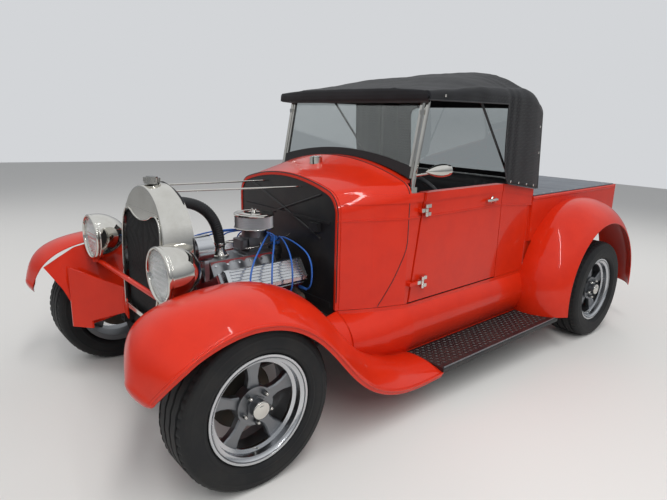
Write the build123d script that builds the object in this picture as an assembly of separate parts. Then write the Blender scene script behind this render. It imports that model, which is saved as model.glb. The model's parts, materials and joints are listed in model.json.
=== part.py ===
"""Hot rod: a lowered roadster pickup with open engine, soft top and covered bed.

All sizes are millimetres, +X is the vehicle's left, +Y its rear, +Z up.  The body is drawn
level, with Y = 0 over the front axle and Z = 0 on the ground there, and is then tipped nose
down by RAKE.  The running gear is drawn square to the ground.  The model's origin lies on the
ground under the middle of the vehicle's length.
"""
import math
import os

from build123d import *

# Placing
WHEELBASE = 2629.0
RAKE = 1.5
ORIGIN_BACK = 1439.0
FRONT_TYRE_R = 314.0
REAR_TYRE_R = 321.0
SEAT = 0.3
CLEAR = 6.0

FRONT_AXLE_Y = FRONT_TYRE_R * math.sin(math.radians(RAKE))
REAR_AXLE_Y = WHEELBASE * math.cos(math.radians(RAKE)) + REAR_TYRE_R * math.sin(math.radians(RAKE))
REAR_AXLE_Z = REAR_TYRE_R * math.cos(math.radians(RAKE)) - WHEELBASE * math.sin(math.radians(RAKE))

# Wheels and tyres
RIM_R = 208.0
BEAD_R = 190.0
RIM_WALL = 7.0
RIM_LIP_T = 11.0
MOUNT_IN = 82.0
FRONT_RIM_W = 172.0
REAR_RIM_W = 196.0
FRONT_TYRE_W = 195.0
REAR_TYRE_W = 235.0
FRONT_LIP_X = 788.0
REAR_LIP_X = 811.0
SPOKES = 5
HUB_R = 74.0
LUG_CIRCLE_R = 57.0
LUG_R = 9.5
CAP_R = 33.0

# Running gear
KINGPIN_X = 590.0
KINGPIN_R = 13.0
AXLE_BEAM_H = 58.0
AXLE_BEAM_T = 44.0
AXLE_DROP = 62.0
SPINDLE_R = 20.0
DISC_R = 125.0
ARM_BACK = 135.0
ARM_DROP = 62.0
TIE_ROD_R = 11.0
REAR_TUBE_R = 38.0
REAR_DRUM_R = 140.0

# Frame
RAIL_OUT = 372.0
RAIL_W = 48.0
RAIL_TOP = 392.0
RAIL_H = 104.0
RAIL_FRONT = -70.0
RAIL_BACK = 3230.0
RAIL_WALL = 6.0
HORN_BORE_R = 7.0
HORN_BORE_Z = 334.0
HORN_BORE_DEEP = 48.0
NOTCH_R = 62.0

# Body stations and levels
FIREWALL_Y = 668.0
SEAM_Y = 1003.0
DOOR_TOP_Y = 1111.0
DOOR_LOW_Y = 1030.0
DOOR_REAR_Y = 1785.0
CAB_BACK_Y = 2122.0
BODY_LOW = 430.0
FLOOR_Z = RAIL_TOP + SEAT
FLOOR_T = 12.0
SILL_W = 30.0
BELT_Z = 984.0
BELT_REAR_Z = 932.0
BELT_H = 44.0
BELT_OUT = 4.0
BODY_HALF = 566.0
BODY_WALL = 12.0
DOOR_T = 42.0
HINGE_OUT = 20.0
HINGE_Y = 1102.0
HINGE_R = 9.0
HINGE_PIN_R = 4.5
HINGE_LEVELS = (900.0, 534.0)
BEAD_Z = 862.0

# Cowl sections, one row each: station, half width, shoulder height, crown height, shoulder radius
COWL_SECTIONS = [
    # y,        half,  shoulder, crown, radius
    (FIREWALL_Y, BODY_HALF - 146, 972.0, 1048.0, 108.0),
    (FIREWALL_Y + 162, BODY_HALF - 69, 996.0, 1082.0, 96.0),
    (SEAM_Y, BODY_HALF - 6, 1018.0, 1130.0, 84.0),
]

POST_SEAT_X = 500.0
POST_SEAT_Y = 1018.0
SCREEN_Y = 1042.0
SCREEN_LEAN = 10.9
SCREEN_HALF = 512.0
SCREEN_TOP = 1424.0

# Bed
BED_FRONT_Y = CAB_BACK_Y + 12
BED_BACK_Y = REAR_AXLE_Y + 688
BED_HALF = BODY_HALF
BED_TOP = 884.0
BED_LOW = 604.0
BED_WALL = 10.0
BED_RAIL_W = 40.0
BED_RAIL_H = 26.0
GATE_T = 22.0
GATE_PIN_R = 6.0
GATE_PIN_Z = BED_LOW + 16
TAIL_X = 430.0
STAKE_SPANS = (0.16, 0.5, 0.84)

# Soft top
TOP_FRONT_Y = 1062.0
TOP_WALL = 9.0
TOP_VALANCE_Z = 1408.0
CURTAIN_FRONT_Y = 1724.0
REAR_PANE = (330.0, 1180.0, 1370.0)

# Running boards and aprons
BOARD_IN = BODY_HALF + 2
BOARD_OUT = 808.0
BOARD_TOP = 168.0
BOARD_T = 26.0
BOARD_FRONT_Y = 1034.0
BOARD_BACK_Y = REAR_AXLE_Y - 487
SHEET_T = 5.0
APRON_GAP = 0.8

# Radiator and lamps
SHELL_FRONT_Y = -109.0
SHELL_BACK_Y = 30.0
SHELL_LOW = 455.0
SHELL_LEAN = 4.0
SHELL_WALL = 5.0
CORE_HALF = 166.0
CORE_TOP = 920.0
TANK_TOP = 985.0
CORE_FINS = 21
LAMP_X = 392.0
LAMP_Y = -183.0
LAMP_Z = 752.0
LAMP_R = 108.0
LAMP_DEPTH = 165.0
BAR_Y = -150.0
BAR_Z = 634.0
BAR_R = 11.0

# Engine
ENGINE_Y = (150.0, 610.0)
CRANK_Z = 440.0
HEAD_IN = (196.0, 640.0)
HEAD_OUT = (262.0, 548.0)
AIR_Y = 486.0
AIR_R = 98.0
MANIFOLD_TOP = 668.0
DISTRIBUTOR_Y = 600.0
TOWER_R = 28.0
HOSE_Y = 293.0
HOSE_R = 22.0
LEAD_OUT = 345.0
PLUG_X = 247.0
OUTLET_X = 290.0


def block(x, y, z):
    """Box between two limits on each axis."""
    middle = [(a + b) / 2 for a, b in (x, y, z)]
    return Pos(*middle) * Box(x[1] - x[0], y[1] - y[0], z[1] - z[0])


def rod(start, end, radius):
    """Round bar from one point to another."""
    run = Vector(*end) - Vector(*start)
    plane = Plane(origin=start, z_dir=run)
    return plane * Cylinder(radius, run.length, align=(Align.CENTER, Align.CENTER, Align.MIN))


def across(y):
    """Upright plane across the vehicle at y, with local x along X and local y along Z."""
    return Plane(origin=(0, y, 0), x_dir=(1, 0, 0), z_dir=(0, -1, 0))


def along(x):
    """Upright plane along the vehicle at x, with local x along Y and local y along Z."""
    return Plane(origin=(x, 0, 0), x_dir=(0, 1, 0), z_dir=(1, 0, 0))


def side_sheet(points, x_from, x_to):
    """Straight-sided outline of (y, z) points, carried from one x to another."""
    return extrude(along(x_from) * make_face(Polyline(*points, close=True)), amount=x_to - x_from)


def pair(shape):
    """The left-hand shape with its mirror image on the right."""
    return [shape, mirror(shape, about=Plane.YZ)]


def faceted(start, end, radius, sides):
    """Straight bar with a many-sided section from one point to another."""
    run = Vector(*end) - Vector(*start)
    return extrude(Plane(origin=start, z_dir=run) * RegularPolygon(radius, sides), amount=run.length)


def tube_run(points, bends, radius, sides):
    """Many-sided tube along straight runs and bends, one bend radius to each inner point."""
    path = FilletPolyline(*points, radius=bends)
    corners = [path @ 0]
    for edge in path.edges():
        steps = 4 if edge.geom_type == GeomType.CIRCLE else 1
        corners += [edge @ (step / steps) for step in range(1, steps + 1)]
    start = Plane(origin=corners[0], z_dir=corners[1] - corners[0])
    return sweep(start * RegularPolygon(radius, sides), path=Polyline(*corners), transition=Transition.RIGHT)


def body_section(y, half, shoulder, crown, radius, low):
    """Body section: upright sides, crowned top and rounded shoulders."""
    edges = Polyline((half, shoulder), (half, low), (-half, low), (-half, shoulder))
    edges += ThreePointArc((-half, shoulder), (0, crown), (half, shoulder))
    face = make_face(edges)
    face = fillet(face.vertices().sort_by(Axis.Y)[-2:], radius)
    return across(y) * face


def body_shell(rows, wall, low, floor_cut):
    """Hollow body panel through the section rows, open at both ends and below."""
    outer = loft([body_section(*row, low) for row in rows])
    inner = loft([
        body_section(y, half - wall, shoulder - wall, crown - wall, radius - wall, low - floor_cut)
        for y, half, shoulder, crown, radius in rows
    ])
    return outer - inner


def seated(piece, carrier, x=0.0, y=0.0, z=0.0):
    """The piece cut back to SEAT from its carrier on the side that (x, y, z) points to."""
    step = Vector(x, y, z).normalized() * SEAT
    cut = piece - carrier - Pos(step.X, step.Y, step.Z) * carrier
    return cut.solids().sort_by(SortBy.VOLUME)[-1]


def to_body(shape):
    """Running gear drawn square to the ground, as it lies in the body's level frame."""
    return Rot(-RAKE, 0, 0) * shape


def save(name, shapes):
    """Write one node's solids to its file."""
    solids = []
    for shape in shapes:
        solids += shape.solids()
    export_step(Compound(children=solids), f"parts/{name}.step")


def tip(shapes):
    """Body shapes at rest: tipped nose down and moved to the model's origin."""
    return [Pos(0, -ORIGIN_BACK, 0) * Rot(RAKE, 0, 0) * shape for shape in shapes]


def square(shapes):
    """Running gear at rest: square to the ground, moved to the model's origin."""
    return [Pos(0, -ORIGIN_BACK, 0) * shape for shape in shapes]


# Wheels

def tyre(radius, width, rim_width, centre_x):
    """Tyre with a crowned tread, round shoulders, bulged sidewalls and bead feet."""
    half = width / 2
    bead = rim_width / 2 - RIM_LIP_T - SEAT
    side = [
        # half width, radius
        (bead, BEAD_R + SEAT), (bead, RIM_R + SEAT), (half * 0.97, radius - 86), (half, radius - 60),
        (half * 0.96, radius - 28), (half * 0.86, radius - 9), (half * 0.62, radius - 1.5)]
    outline = side + [(-x, r) for x, r in reversed(side)]
    face = make_face(Polyline(*outline, close=True))
    return Pos(centre_x, 0, 0) * revolve(Plane.XY * face, axis=Axis.X)


def wheel(rim_width, lip_x):
    """Five-spoke cast wheel: stepped and lipped rim, flared spokes, lug nuts and centre cap."""
    inner = lip_x - rim_width
    floor = BEAD_R - RIM_WALL
    profile = Polyline(
        (lip_x, RIM_R), (lip_x - RIM_LIP_T, RIM_R), (lip_x - RIM_LIP_T, BEAD_R), (inner + RIM_LIP_T, BEAD_R),
        (inner + RIM_LIP_T, RIM_R), (inner, RIM_R), (inner, floor), (inner + 60, floor - 16),
        (lip_x - 56, floor - 16), (lip_x - 40, floor - 16), (lip_x - 34, floor - 3), (lip_x - 12, floor),
        (lip_x - 8, BEAD_R + 4), (lip_x, BEAD_R + 8), close=True)
    rim = revolve(Plane.XY * make_face(profile), axis=Axis.X)
    face_x = lip_x - 52
    hub = Pos(face_x - 8, 0, 0) * Rot(0, 90, 0) * Cylinder(HUB_R, 44)
    reach = floor - 12
    petal = Polyline((-27, HUB_R - 16), (-20, 104), (-24, 134), (-37, reach), (37, reach), (24, 134), (20, 104),
                     (27, HUB_R - 16), close=True)
    spoke = extrude(Plane(origin=(face_x - 26, 0, 0), x_dir=(0, 1, 0), z_dir=(1, 0, 0)) * make_face(petal), amount=28)
    spoke = chamfer(spoke.faces().sort_by(Axis.X)[-1].edges().filter_by(lambda e: abs(e.center().Z) < reach - 2), 5)
    body = rim + hub
    front = face_x + 14
    for turn in range(SPOKES):
        body += Rot(360 / SPOKES * turn, 0, 0) * spoke
        nut = Rot(360 / SPOKES * (turn + 0.5), 0, 0) * Pos(front, 0, LUG_CIRCLE_R) * Rot(0, 90, 0)
        body += nut * extrude(RegularPolygon(LUG_R, 6), amount=16, both=True)
    body += Pos(front, 0, 0) * Rot(0, 90, 0) * extrude(RegularPolygon(CAP_R + 10, 6), amount=10)
    cap = Pos(front + 20, 0, 0) * Rot(0, 90, 0) * Cylinder(CAP_R, 40)
    cap = chamfer(cap.edges().group_by(Axis.X)[-1], 5)
    return body + cap


def at_wheel(shape, y, radius):
    """Put a wheel piece drawn about the X axis on its axle."""
    return Pos(0, y, radius) * shape


# Front axle and steering

def front_axle():
    """Forged beam between the kingpins, dropped in its middle stretch."""
    end = KINGPIN_X - 26
    top = FRONT_TYRE_R + AXLE_BEAM_H / 2
    low = top - AXLE_BEAM_H
    outline = [
        (-end, top), (-end + 60, top), (-end + 150, top - AXLE_DROP), (end - 150, top - AXLE_DROP), (end - 60, top),
        (end, top), (end, low), (end - 60, low), (end - 150, low - AXLE_DROP), (-end + 150, low - AXLE_DROP),
        (-end + 60, low), (-end, low)]
    beam = extrude(across(AXLE_BEAM_T / 2) * make_face(Polyline(*outline, close=True)), amount=AXLE_BEAM_T)
    for side in (-1, 1):
        boss = Pos(side * KINGPIN_X, 0, FRONT_TYRE_R) * (
            Cylinder(26, AXLE_BEAM_H) - Cylinder(KINGPIN_R + 0.05, AXLE_BEAM_H))
        beam += boss
    return beam


def knuckle():
    """Left knuckle: kingpin, fork ears, spindle, brake disc and steering arm."""
    kx, kz = KINGPIN_X, FRONT_TYRE_R
    ear = AXLE_BEAM_H / 2 + 2
    pin = Pos(kx, 0, kz) * Cylinder(KINGPIN_R, AXLE_BEAM_H + 40)
    body = pin
    for side in (-1, 1):
        body += Pos(kx, 0, kz + side * (ear + 9)) * Cylinder(28, 18)
        body += block((kx, kx + 44), (-24, 24), sorted((kz + side * ear, kz + side * (ear + 18))))
    body += block((kx + 32, kx + 46), (-34, 34), (kz - ear - 18, kz + ear + 18))
    body += Pos(0, 0, kz) * rod((kx + 40, 0, 0), (kx + 62, 0, 0), DISC_R)
    body += Pos(0, 0, kz) * rod((kx + 50, 0, 0), (FRONT_LIP_X - MOUNT_IN - SEAT, 0, 0), SPINDLE_R)
    arm_z = kz - ear - 9
    body += side_arm(kx, arm_z)
    return body


def side_arm(kx, arm_z):
    """Steering arm that runs back from the lower ear to the tie rod's eye."""
    arm = block((kx - 12, kx + 12), (20, ARM_BACK), (arm_z - 9, arm_z + 9))
    arm += Pos(kx, ARM_BACK, arm_z) * Cylinder(18, 18)
    return arm


def tie_rod():
    """Tie rod under the two steering arms, with a ball stud housing at each end."""
    arm_z = FRONT_TYRE_R - AXLE_BEAM_H / 2 - 11
    low = arm_z - 9 - SEAT
    body = rod((-KINGPIN_X, ARM_BACK, low - 16), (KINGPIN_X, ARM_BACK, low - 16), TIE_ROD_R)
    for side in (-1, 1):
        body += Pos(side * KINGPIN_X, ARM_BACK, low - 16) * Cylinder(12.5, 32)
    return body


def rear_axle():
    """Live axle: domed centre housing, tubes, drums, wheel flanges and spring perches."""
    z = REAR_TYRE_R
    face = REAR_LIP_X - MOUNT_IN - SEAT + 14
    profile = Polyline((-92, 0), (-92, 60), (-52, 112), (40, 112), (74, 62), (74, 0), close=True)
    body = Pos(0, WHEELBASE, z) * revolve(Plane.XY * make_face(profile), axis=Axis.X)
    body += rod((-face + 70, WHEELBASE, z), (face - 70, WHEELBASE, z), REAR_TUBE_R)
    for side in (-1, 1):
        body += rod((side * (face - 70), WHEELBASE, z), (side * (face - 14), WHEELBASE, z), REAR_DRUM_R)
        body += rod((side * (face - 84), WHEELBASE, z), (side * (face - 70), WHEELBASE, z), REAR_DRUM_R - 12)
    body += rod((0, WHEELBASE - 190, z), (0, WHEELBASE - 60, z), 42)
    return body


SPRINGS = [
    # y middle, top z, half span, end drop, leaves
    (FRONT_AXLE_Y + 4, RAIL_TOP - 70 - SEAT, 400.0, 22.0, 3),
    (REAR_AXLE_Y + 140, RAIL_TOP - 58 - SEAT, 312.0, 20.0, 4),
]
LEAF_T = 7.0
LEAF_W = 44.0


def springs():
    """Two cross springs, each a stack of bowed leaves that shorten downwards."""
    stacks = []
    for y, top, span, drop, leaves in SPRINGS:
        stack = None
        for index in range(leaves):
            share = 1 - 0.22 * index
            reach, low, rise = span * share, drop * share * share, top - LEAF_T * index
            edges = ThreePointArc((-reach, rise - low), (0, rise), (reach, rise - low))
            edges += Line((reach, rise - low), (reach, rise - low - LEAF_T))
            edges += ThreePointArc((reach, rise - low - LEAF_T), (0, rise - LEAF_T), (-reach, rise - low - LEAF_T))
            edges += Line((-reach, rise - low - LEAF_T), (-reach, rise - low))
            leaf = extrude(across(y + LEAF_W / 2) * make_face(edges), amount=LEAF_W)
            stack = leaf if stack is None else stack + leaf
        stacks.append(stack)
    return stacks


def spring_perches(axles, stacks):
    """Perches that stand on each axle under its spring's two ends."""
    rows = [
        # y from, y to, z from, seat direction
        (SPRINGS[0][0] - 14, SPRINGS[0][0] + 14, 250.0, (0, 0, 1)),
        (REAR_AXLE_Y + 10, SPRINGS[1][0] + 14, 236.0, (0, 1, 0)),
    ]
    perches = []
    for axle, stack, spring, (y0, y1, low, way) in zip(axles, stacks, SPRINGS, rows):
        span, top = spring[2], spring[1] - spring[3]
        for side in (-1, 1):
            x = side * (span - 16)
            perch = seated(block((x - 12, x + 12), (y0, y1), (low, top)), stack, z=-1)
            perches.append(seated(perch, axle, *way))
    return perches


def radius_rods(axle):
    """Two rods from the front axle back to brackets under the rails."""
    x0, x1 = 452.0, RAIL_OUT - RAIL_W / 2
    y1, low = 880.0, RAIL_TOP - RAIL_H
    arm = rod((x0, FRONT_AXLE_Y, 284), (x1, y1, 262), 13)
    arm = seated(arm, axle, y=1)
    arm += block((x1 - 16, x1 + 16), (y1 - 20, y1 + 20), (246, low - SEAT))
    return pair(arm)


# Frame

def frame_rails():
    """Two channel rails with tapered front horns, each bored in its end for a bumper bolt."""
    outline = [
        (RAIL_FRONT, RAIL_TOP - 18), (RAIL_FRONT + 60, RAIL_TOP), (RAIL_BACK, RAIL_TOP), (RAIL_BACK, RAIL_TOP - RAIL_H + 20),
        (RAIL_BACK - 270, RAIL_TOP - RAIL_H), (400, RAIL_TOP - RAIL_H), (RAIL_FRONT, HORN_BORE_Z - 18)]
    rail = side_sheet(outline, RAIL_OUT - RAIL_W, RAIL_OUT)
    rail -= block((RAIL_OUT - RAIL_W - 1, RAIL_OUT - RAIL_WALL), (260, RAIL_BACK - 60),
                  (RAIL_TOP - RAIL_H + RAIL_WALL, RAIL_TOP - RAIL_WALL))
    bore = rod((RAIL_OUT - RAIL_W / 2, RAIL_FRONT - 1, HORN_BORE_Z),
               (RAIL_OUT - RAIL_W / 2, RAIL_FRONT + HORN_BORE_DEEP, HORN_BORE_Z), HORN_BORE_R)
    rail -= bore
    rail -= Pos(RAIL_OUT - RAIL_W / 2, REAR_AXLE_Y, REAR_AXLE_Z) * Rot(0, 90, 0) * Cylinder(NOTCH_R, RAIL_W + 2)
    return pair(rail)


CROSSMEMBERS = [
    # y from, y to, z from, z to
    (-28.0, 52.0, RAIL_TOP - 70, RAIL_TOP - 6),
    (1000.0, 1070.0, RAIL_TOP - RAIL_H, RAIL_TOP - RAIL_H + 20),
    (1900.0, 1970.0, RAIL_TOP - 58, RAIL_TOP - 6),
    (REAR_AXLE_Y + 104, REAR_AXLE_Y + 176, RAIL_TOP - 58, RAIL_TOP - 6),
    (3120.0, 3180.0, RAIL_TOP - 70, RAIL_TOP - 6),
]


def crossmembers():
    """Pressed members between the rails, and the radiator's saddle on the first."""
    half = RAIL_OUT - RAIL_W - SEAT
    members = [block((-half, half), (y0, y1), (z0, z1)) for y0, y1, z0, z1 in CROSSMEMBERS]
    members[0] += block((-150, 150), (-20, 24), (RAIL_TOP - 8, SHELL_LOW - SEAT))
    return members


# Engine

def engine_block():
    """Vee engine in outline: sump, crankcase and two banks with their heads."""
    y0, y1 = ENGINE_Y
    lower = [(-96, 262), (96, 262), (112, 330), (150, 380), (150, 470), (-150, 470), (-150, 380), (-112, 330)]
    body = extrude(across(y1) * make_face(Polyline(*lower, close=True)), amount=y1 - y0)
    bank = [(30, 430), (150, 430), (262, 548), (196, 640), (120, 596), (30, 560)]
    for side in (-1, 1):
        points = [(side * x, z) for x, z in bank]
        body += extrude(across(y1 - 12) * make_face(Polyline(*points, close=True)), amount=y1 - y0 - 24)
    body += block((-30, 30), (y0, y1), (460, 592))
    manifold = [(-118, 590), (118, 590), (76, MANIFOLD_TOP), (-76, MANIFOLD_TOP)]
    body += extrude(across(DISTRIBUTOR_Y - 52) * make_face(Polyline(*manifold, close=True)), amount=DISTRIBUTOR_Y - y0 - 102)
    return body


def valve_cover():
    """Left finned cover, seated on its head."""
    y0, y1 = ENGINE_Y[0] + 22, ENGINE_Y[1] - 22
    seat_in, seat_out = Vector(*HEAD_IN), Vector(*HEAD_OUT)
    slope = math.degrees(math.atan2(seat_out.Y - seat_in.Y, seat_out.X - seat_in.X))
    length = (seat_out - seat_in).length
    cover = Pos(length / 2, SEAT + 5, 0) * Box(length + 6, 10, y1 - y0 + 8)
    cover += Pos(length / 2, 34, 0) * chamfer(Box(length + 2, 62, y1 - y0 - 6).edges().filter_by(Axis.Z).group_by(Axis.Y)[-1], 14)
    for index in range(7):
        cover += Pos(length / 2 - 42 + 14 * index, 67, 0) * Box(5, 8, y1 - y0 - 50)
    lean = math.radians(slope)
    placed = Plane(origin=(seat_in.X, (y0 + y1) / 2, seat_in.Y), x_dir=(math.cos(lean), 0, math.sin(lean)),
                   z_dir=(0, -1, 0))
    return placed * cover


def carburettor():
    """Four-barrel carburettor: base flange, bowls, throttle body and air horn."""
    low = MANIFOLD_TOP + SEAT
    body = block((-66, 66), (AIR_Y - 80, AIR_Y + 58), (low, low + 14))
    body += block((-48, 48), (AIR_Y - 58, AIR_Y + 52), (low + 14, low + 80))
    for y0, y1 in ((AIR_Y - 100, AIR_Y - 58), (AIR_Y + 52, AIR_Y + 74)):
        body += chamfer(block((-44, 44), (y0, y1), (low + 26, low + 72)).edges().filter_by(Axis.Z), 10)
    body += Pos(0, AIR_Y, low + 96) * Cylinder(62, 34)
    body += rod((-74, AIR_Y - 10, low + 40), (74, AIR_Y - 10, low + 40), 5)
    return body


def air_cleaner():
    """Round air cleaner: base pan, pleated element and domed lid with its wing nut."""
    low = MANIFOLD_TOP + SEAT + 113 + SEAT
    profile = Polyline((0, low), (AIR_R - 6, low), (AIR_R, low + 8), (AIR_R, low + 18), (AIR_R - 8, low + 18),
                       (AIR_R - 8, low + 56), (AIR_R, low + 56), (AIR_R, low + 62), (AIR_R - 12, low + 74),
                       (16, low + 80), (12, low + 92), (0, low + 92), close=True)
    body = Pos(0, AIR_Y, 0) * revolve(Plane.XZ * make_face(profile), axis=Axis.Z)
    return body + Pos(0, AIR_Y, low + 96) * Box(34, 5, 14)


def engine_front(block_solid):
    """Water pump with its pulley and fan, crank pulley and alternator."""
    y0 = ENGINE_Y[0]
    pump = rod((0, y0 - SEAT, 560), (0, y0 - 58, 560), 62)
    for y, radius in ((y0 - 58, 74), (y0 - 66, 64), (y0 - 74, 74)):
        pump += rod((0, y, 560), (0, y - 8, 560), radius)
    blade = Pos(112, 0, 0) * Rot(24, 0, 0) * Box(146, 34, 3)
    for turn in range(5):
        pump += Pos(0, y0 - 86, 560) * Rot(90, 0, 0) * Rot(0, 0, 72 * turn + 18) * blade
    pump += rod((0, y0 - 78, 560), (0, y0 - 94, 560), 42)
    crank = rod((0, y0 - SEAT, 400), (0, y0 - 58, 400), 40)
    for y, radius in ((y0 - 58, 82), (y0 - 66, 72), (y0 - 74, 82)):
        crank += rod((0, y, 400), (0, y - 8, 400), radius)
    case = rod((74, y0 + 44, 742), (74, y0 - 34, 742), 60)
    case += rod((74, y0 - 34, 742), (74, y0 - 58, 742), 34)
    case += block((52, 92), (y0 + 14, y0 + 36), (540, 700))
    case = seated(case, block_solid, z=1)
    return [pump, crank, case]


def headers(block_solid):
    """Exhaust manifolds below the heads: four ports into one log with its outlet flange."""
    y0, y1 = ENGINE_Y
    log = rod((300, y0 + 50, 486), (300, y1 - 50, 486), 27)
    pitch = (y1 - y0 - 120) / 3
    for index in range(4):
        y = y0 + 60 + pitch * index
        log += rod((226, y, 522), (300, y, 488), 21)
    log += rod((OUTLET_X, y1 - 80, 486), (OUTLET_X, y1 - 80, 372), 25)
    log += rod((OUTLET_X, y1 - 80, 384), (OUTLET_X, y1 - 80, 372), 32)
    return pair(seated(log, block_solid, x=1))


def exhaust():
    """Left down pipe and silencer below the floor, ending before the rear axle."""
    y1 = ENGINE_Y[1] - 80
    pipe = tube_run([(OUTLET_X, y1, 372 - SEAT), (OUTLET_X, y1, 250), (264, y1 + 190, 232), (240, 1250, 232)],
                    [60, 80], 22, 16)
    pipe += rod((240, 1240, 232), (240, 1700, 232), 58)
    pipe += rod((240, 1690, 232), (240, 2240, 232), 22)
    for y in (1120.0, 2000.0):
        pipe += block((228, RAIL_OUT - RAIL_W + 20), (y, y + 24), (RAIL_TOP - RAIL_H - SEAT - 5, RAIL_TOP - RAIL_H - SEAT))
        pipe += block((232, 248), (y, y + 24), (236, RAIL_TOP - RAIL_H - SEAT))
    return pair(pipe)


def spark_box():
    """Distributor behind the carburettor: shaft housing, body and the cap's towers."""
    low = 592 + SEAT
    profile = Polyline((0, low), (20, low), (20, 606), (40, 614), (40, 640), (46, 644), (46, 668), (36, 690),
                       (0, 690), close=True)
    body = Pos(0, DISTRIBUTOR_Y, 0) * revolve(Plane.XZ * make_face(profile), axis=Axis.Z)
    for turn in range(8):
        body += Pos(0, DISTRIBUTOR_Y, 0) * Rot(0, 0, 45 * turn + 22.5) * Pos(TOWER_R, 0, 695) * Cylinder(6, 14)
    return body


def plug_leads():
    """Eight leads from the distributor's towers over the covers and down to the plugs."""
    y0, y1 = ENGINE_Y
    pitch = (y1 - y0 - 120) / 3
    leads = []
    for index in range(4):
        turn = math.radians(45 * index - 67.5)
        x, y = TOWER_R * math.cos(turn), DISTRIBUTOR_Y + TOWER_R * math.sin(turn)
        port_y = y0 + 94 + pitch * index
        top = 762 - 9 * index
        run = [(x, y, 702 + SEAT), (x, y, top), (LEAD_OUT - 150, (y + port_y) / 2, top - 6), (LEAD_OUT, port_y, 690),
               (LEAD_OUT, port_y, 524), (PLUG_X, port_y, 524)]
        lead = tube_run(run, [14, 40, 40, 24], 4, 6) + faceted((PLUG_X, port_y, 524), (PLUG_X + 56, port_y, 524), 7, 8)
        leads.append(lead)
    return [lead for left in leads for lead in pair(left)]


def radiator_hose():
    """Top hose from the header tank, arched back and down to the thermostat neck."""
    neck = Pos(0, HOSE_Y, (MANIFOLD_TOP + 716) / 2) * Cylinder(30, 716 - MANIFOLD_TOP - 2 * SEAT)
    run = [(0, 18 + SEAT, 950), (0, HOSE_Y, 950), (0, HOSE_Y, 716)]
    hose = tube_run(run, [120], HOSE_R, 16)
    for step in range(7):
        hose += faceted((0, 40 + 17 * step, 950), (0, 46 + 17 * step, 950), HOSE_R + 3, 16)
        hose += faceted((0, HOSE_Y, 726 + 15 * step), (0, HOSE_Y, 732 + 15 * step), HOSE_R + 3, 16)
    return [hose, neck]


def gearbox():
    """Bell housing, gearbox and tail shaft."""
    y1 = ENGINE_Y[1]
    body = loft([across(y1 + SEAT) * Pos(0, CRANK_Z - 40) * Circle(150), across(y1 + 46) * Pos(0, CRANK_Z - 56) * Circle(110)])
    body += chamfer(block((-80, 80), (y1 + 40, y1 + 360), (296, 386)).edges().filter_by(Axis.Y), 18)
    return body + rod((0, y1 + 350, 346), (0, y1 + 470, 346), 346 - (RAIL_TOP - RAIL_H + 20) - SEAT)


def driveshaft(gears, axle):
    """Propeller shaft with its two joints, from the gearbox tail to the axle's nose."""
    start = Vector(0, ENGINE_Y[1] + 470 + SEAT, 346)
    end = Vector(0, REAR_AXLE_Y - 190 - SEAT, REAR_AXLE_Z)
    way = (end - start).normalized()
    body = rod(start + way * 30, end - way * 30, 32)
    body += rod(start - way * 4, start + way * 34, 22) + rod(end - way * 34, end + way * 4, 22)
    return seated(seated(body, gears, y=1), axle, y=-1)


# Radiator

SHELL_ENDS = [
    # foot half, low mid x, low mid z, wide half, wide z, high mid x, high mid z, top half, top z, crown z
    (186.0, 215.0, 630.0, 232.0, 800.0, 200.0, 900.0, 145.0, 979.0, 1036.0),
    (250.0, 270.0, 618.0, 277.0, 786.0, 243.0, 920.0, 182.0, 990.0, 1042.0),
]


def shell_outline(row, grow):
    """Outline of arcs: narrow foot, widest above the middle, round top, in by grow."""
    foot, mid_x, mid_z, wide, wide_z, high_x, high_z, top_x, top_z, crown = row
    k = grow * 0.7
    low = SHELL_LOW + grow
    right = [(foot - grow, low), (mid_x - grow, mid_z), (wide - grow, wide_z), (high_x - k, high_z - k),
             (top_x - k, top_z - k)]
    left = [(-x, z) for x, z in right]
    edges = Polyline(left[0], right[0]) + ThreePointArc(*right[:3]) + ThreePointArc(*right[2:])
    edges += ThreePointArc(right[4], (0, crown - grow), left[4])
    edges += ThreePointArc(*reversed(left[2:])) + ThreePointArc(*reversed(left[:3]))
    return make_face(edges)


def shell_plane(back):
    """Leaning plane of the shell's front, moved back; local y is height."""
    lean = math.radians(SHELL_LEAN)
    return Plane(origin=(0, SHELL_FRONT_Y + back - SHELL_LOW * math.sin(lean), SHELL_LOW - SHELL_LOW * math.cos(lean)),
                 x_dir=(1, 0, 0), z_dir=(0, -math.cos(lean), math.sin(lean)))


def shell_solid():
    """The shell's outside as one solid."""
    front, rear = SHELL_ENDS
    body = loft([shell_plane(0) * shell_outline(front, 0), across(SHELL_BACK_Y) * shell_outline(rear, 0)])
    rim = body.faces().sort_by(Axis.Y)[0].edges().sort_by(Axis.Z)[1:]
    return fillet(rim, 9)


def radiator_shell(solid):
    """Plated shell: hollow, open behind, with the grille opening's dipped top."""
    front, rear = SHELL_ENDS
    inner = loft([shell_plane(SHELL_WALL) * shell_outline(front, SHELL_WALL),
                  across(SHELL_BACK_Y + 1) * shell_outline(rear, SHELL_WALL)])
    body = solid - inner
    edges = Polyline((-163, 475), (163, 475)) + ThreePointArc((163, 475), (190, 640), (208, 820))
    edges += ThreePointArc((208, 820), (197, 888), (165, 925)) + ThreePointArc((165, 925), (0, 912), (-165, 925))
    edges += ThreePointArc((-165, 925), (-197, 888), (-208, 820)) + ThreePointArc((-208, 820), (-190, 640), (-163, 475))
    return body - extrude(shell_plane(SHELL_WALL + 2) * make_face(edges), amount=30)


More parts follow.
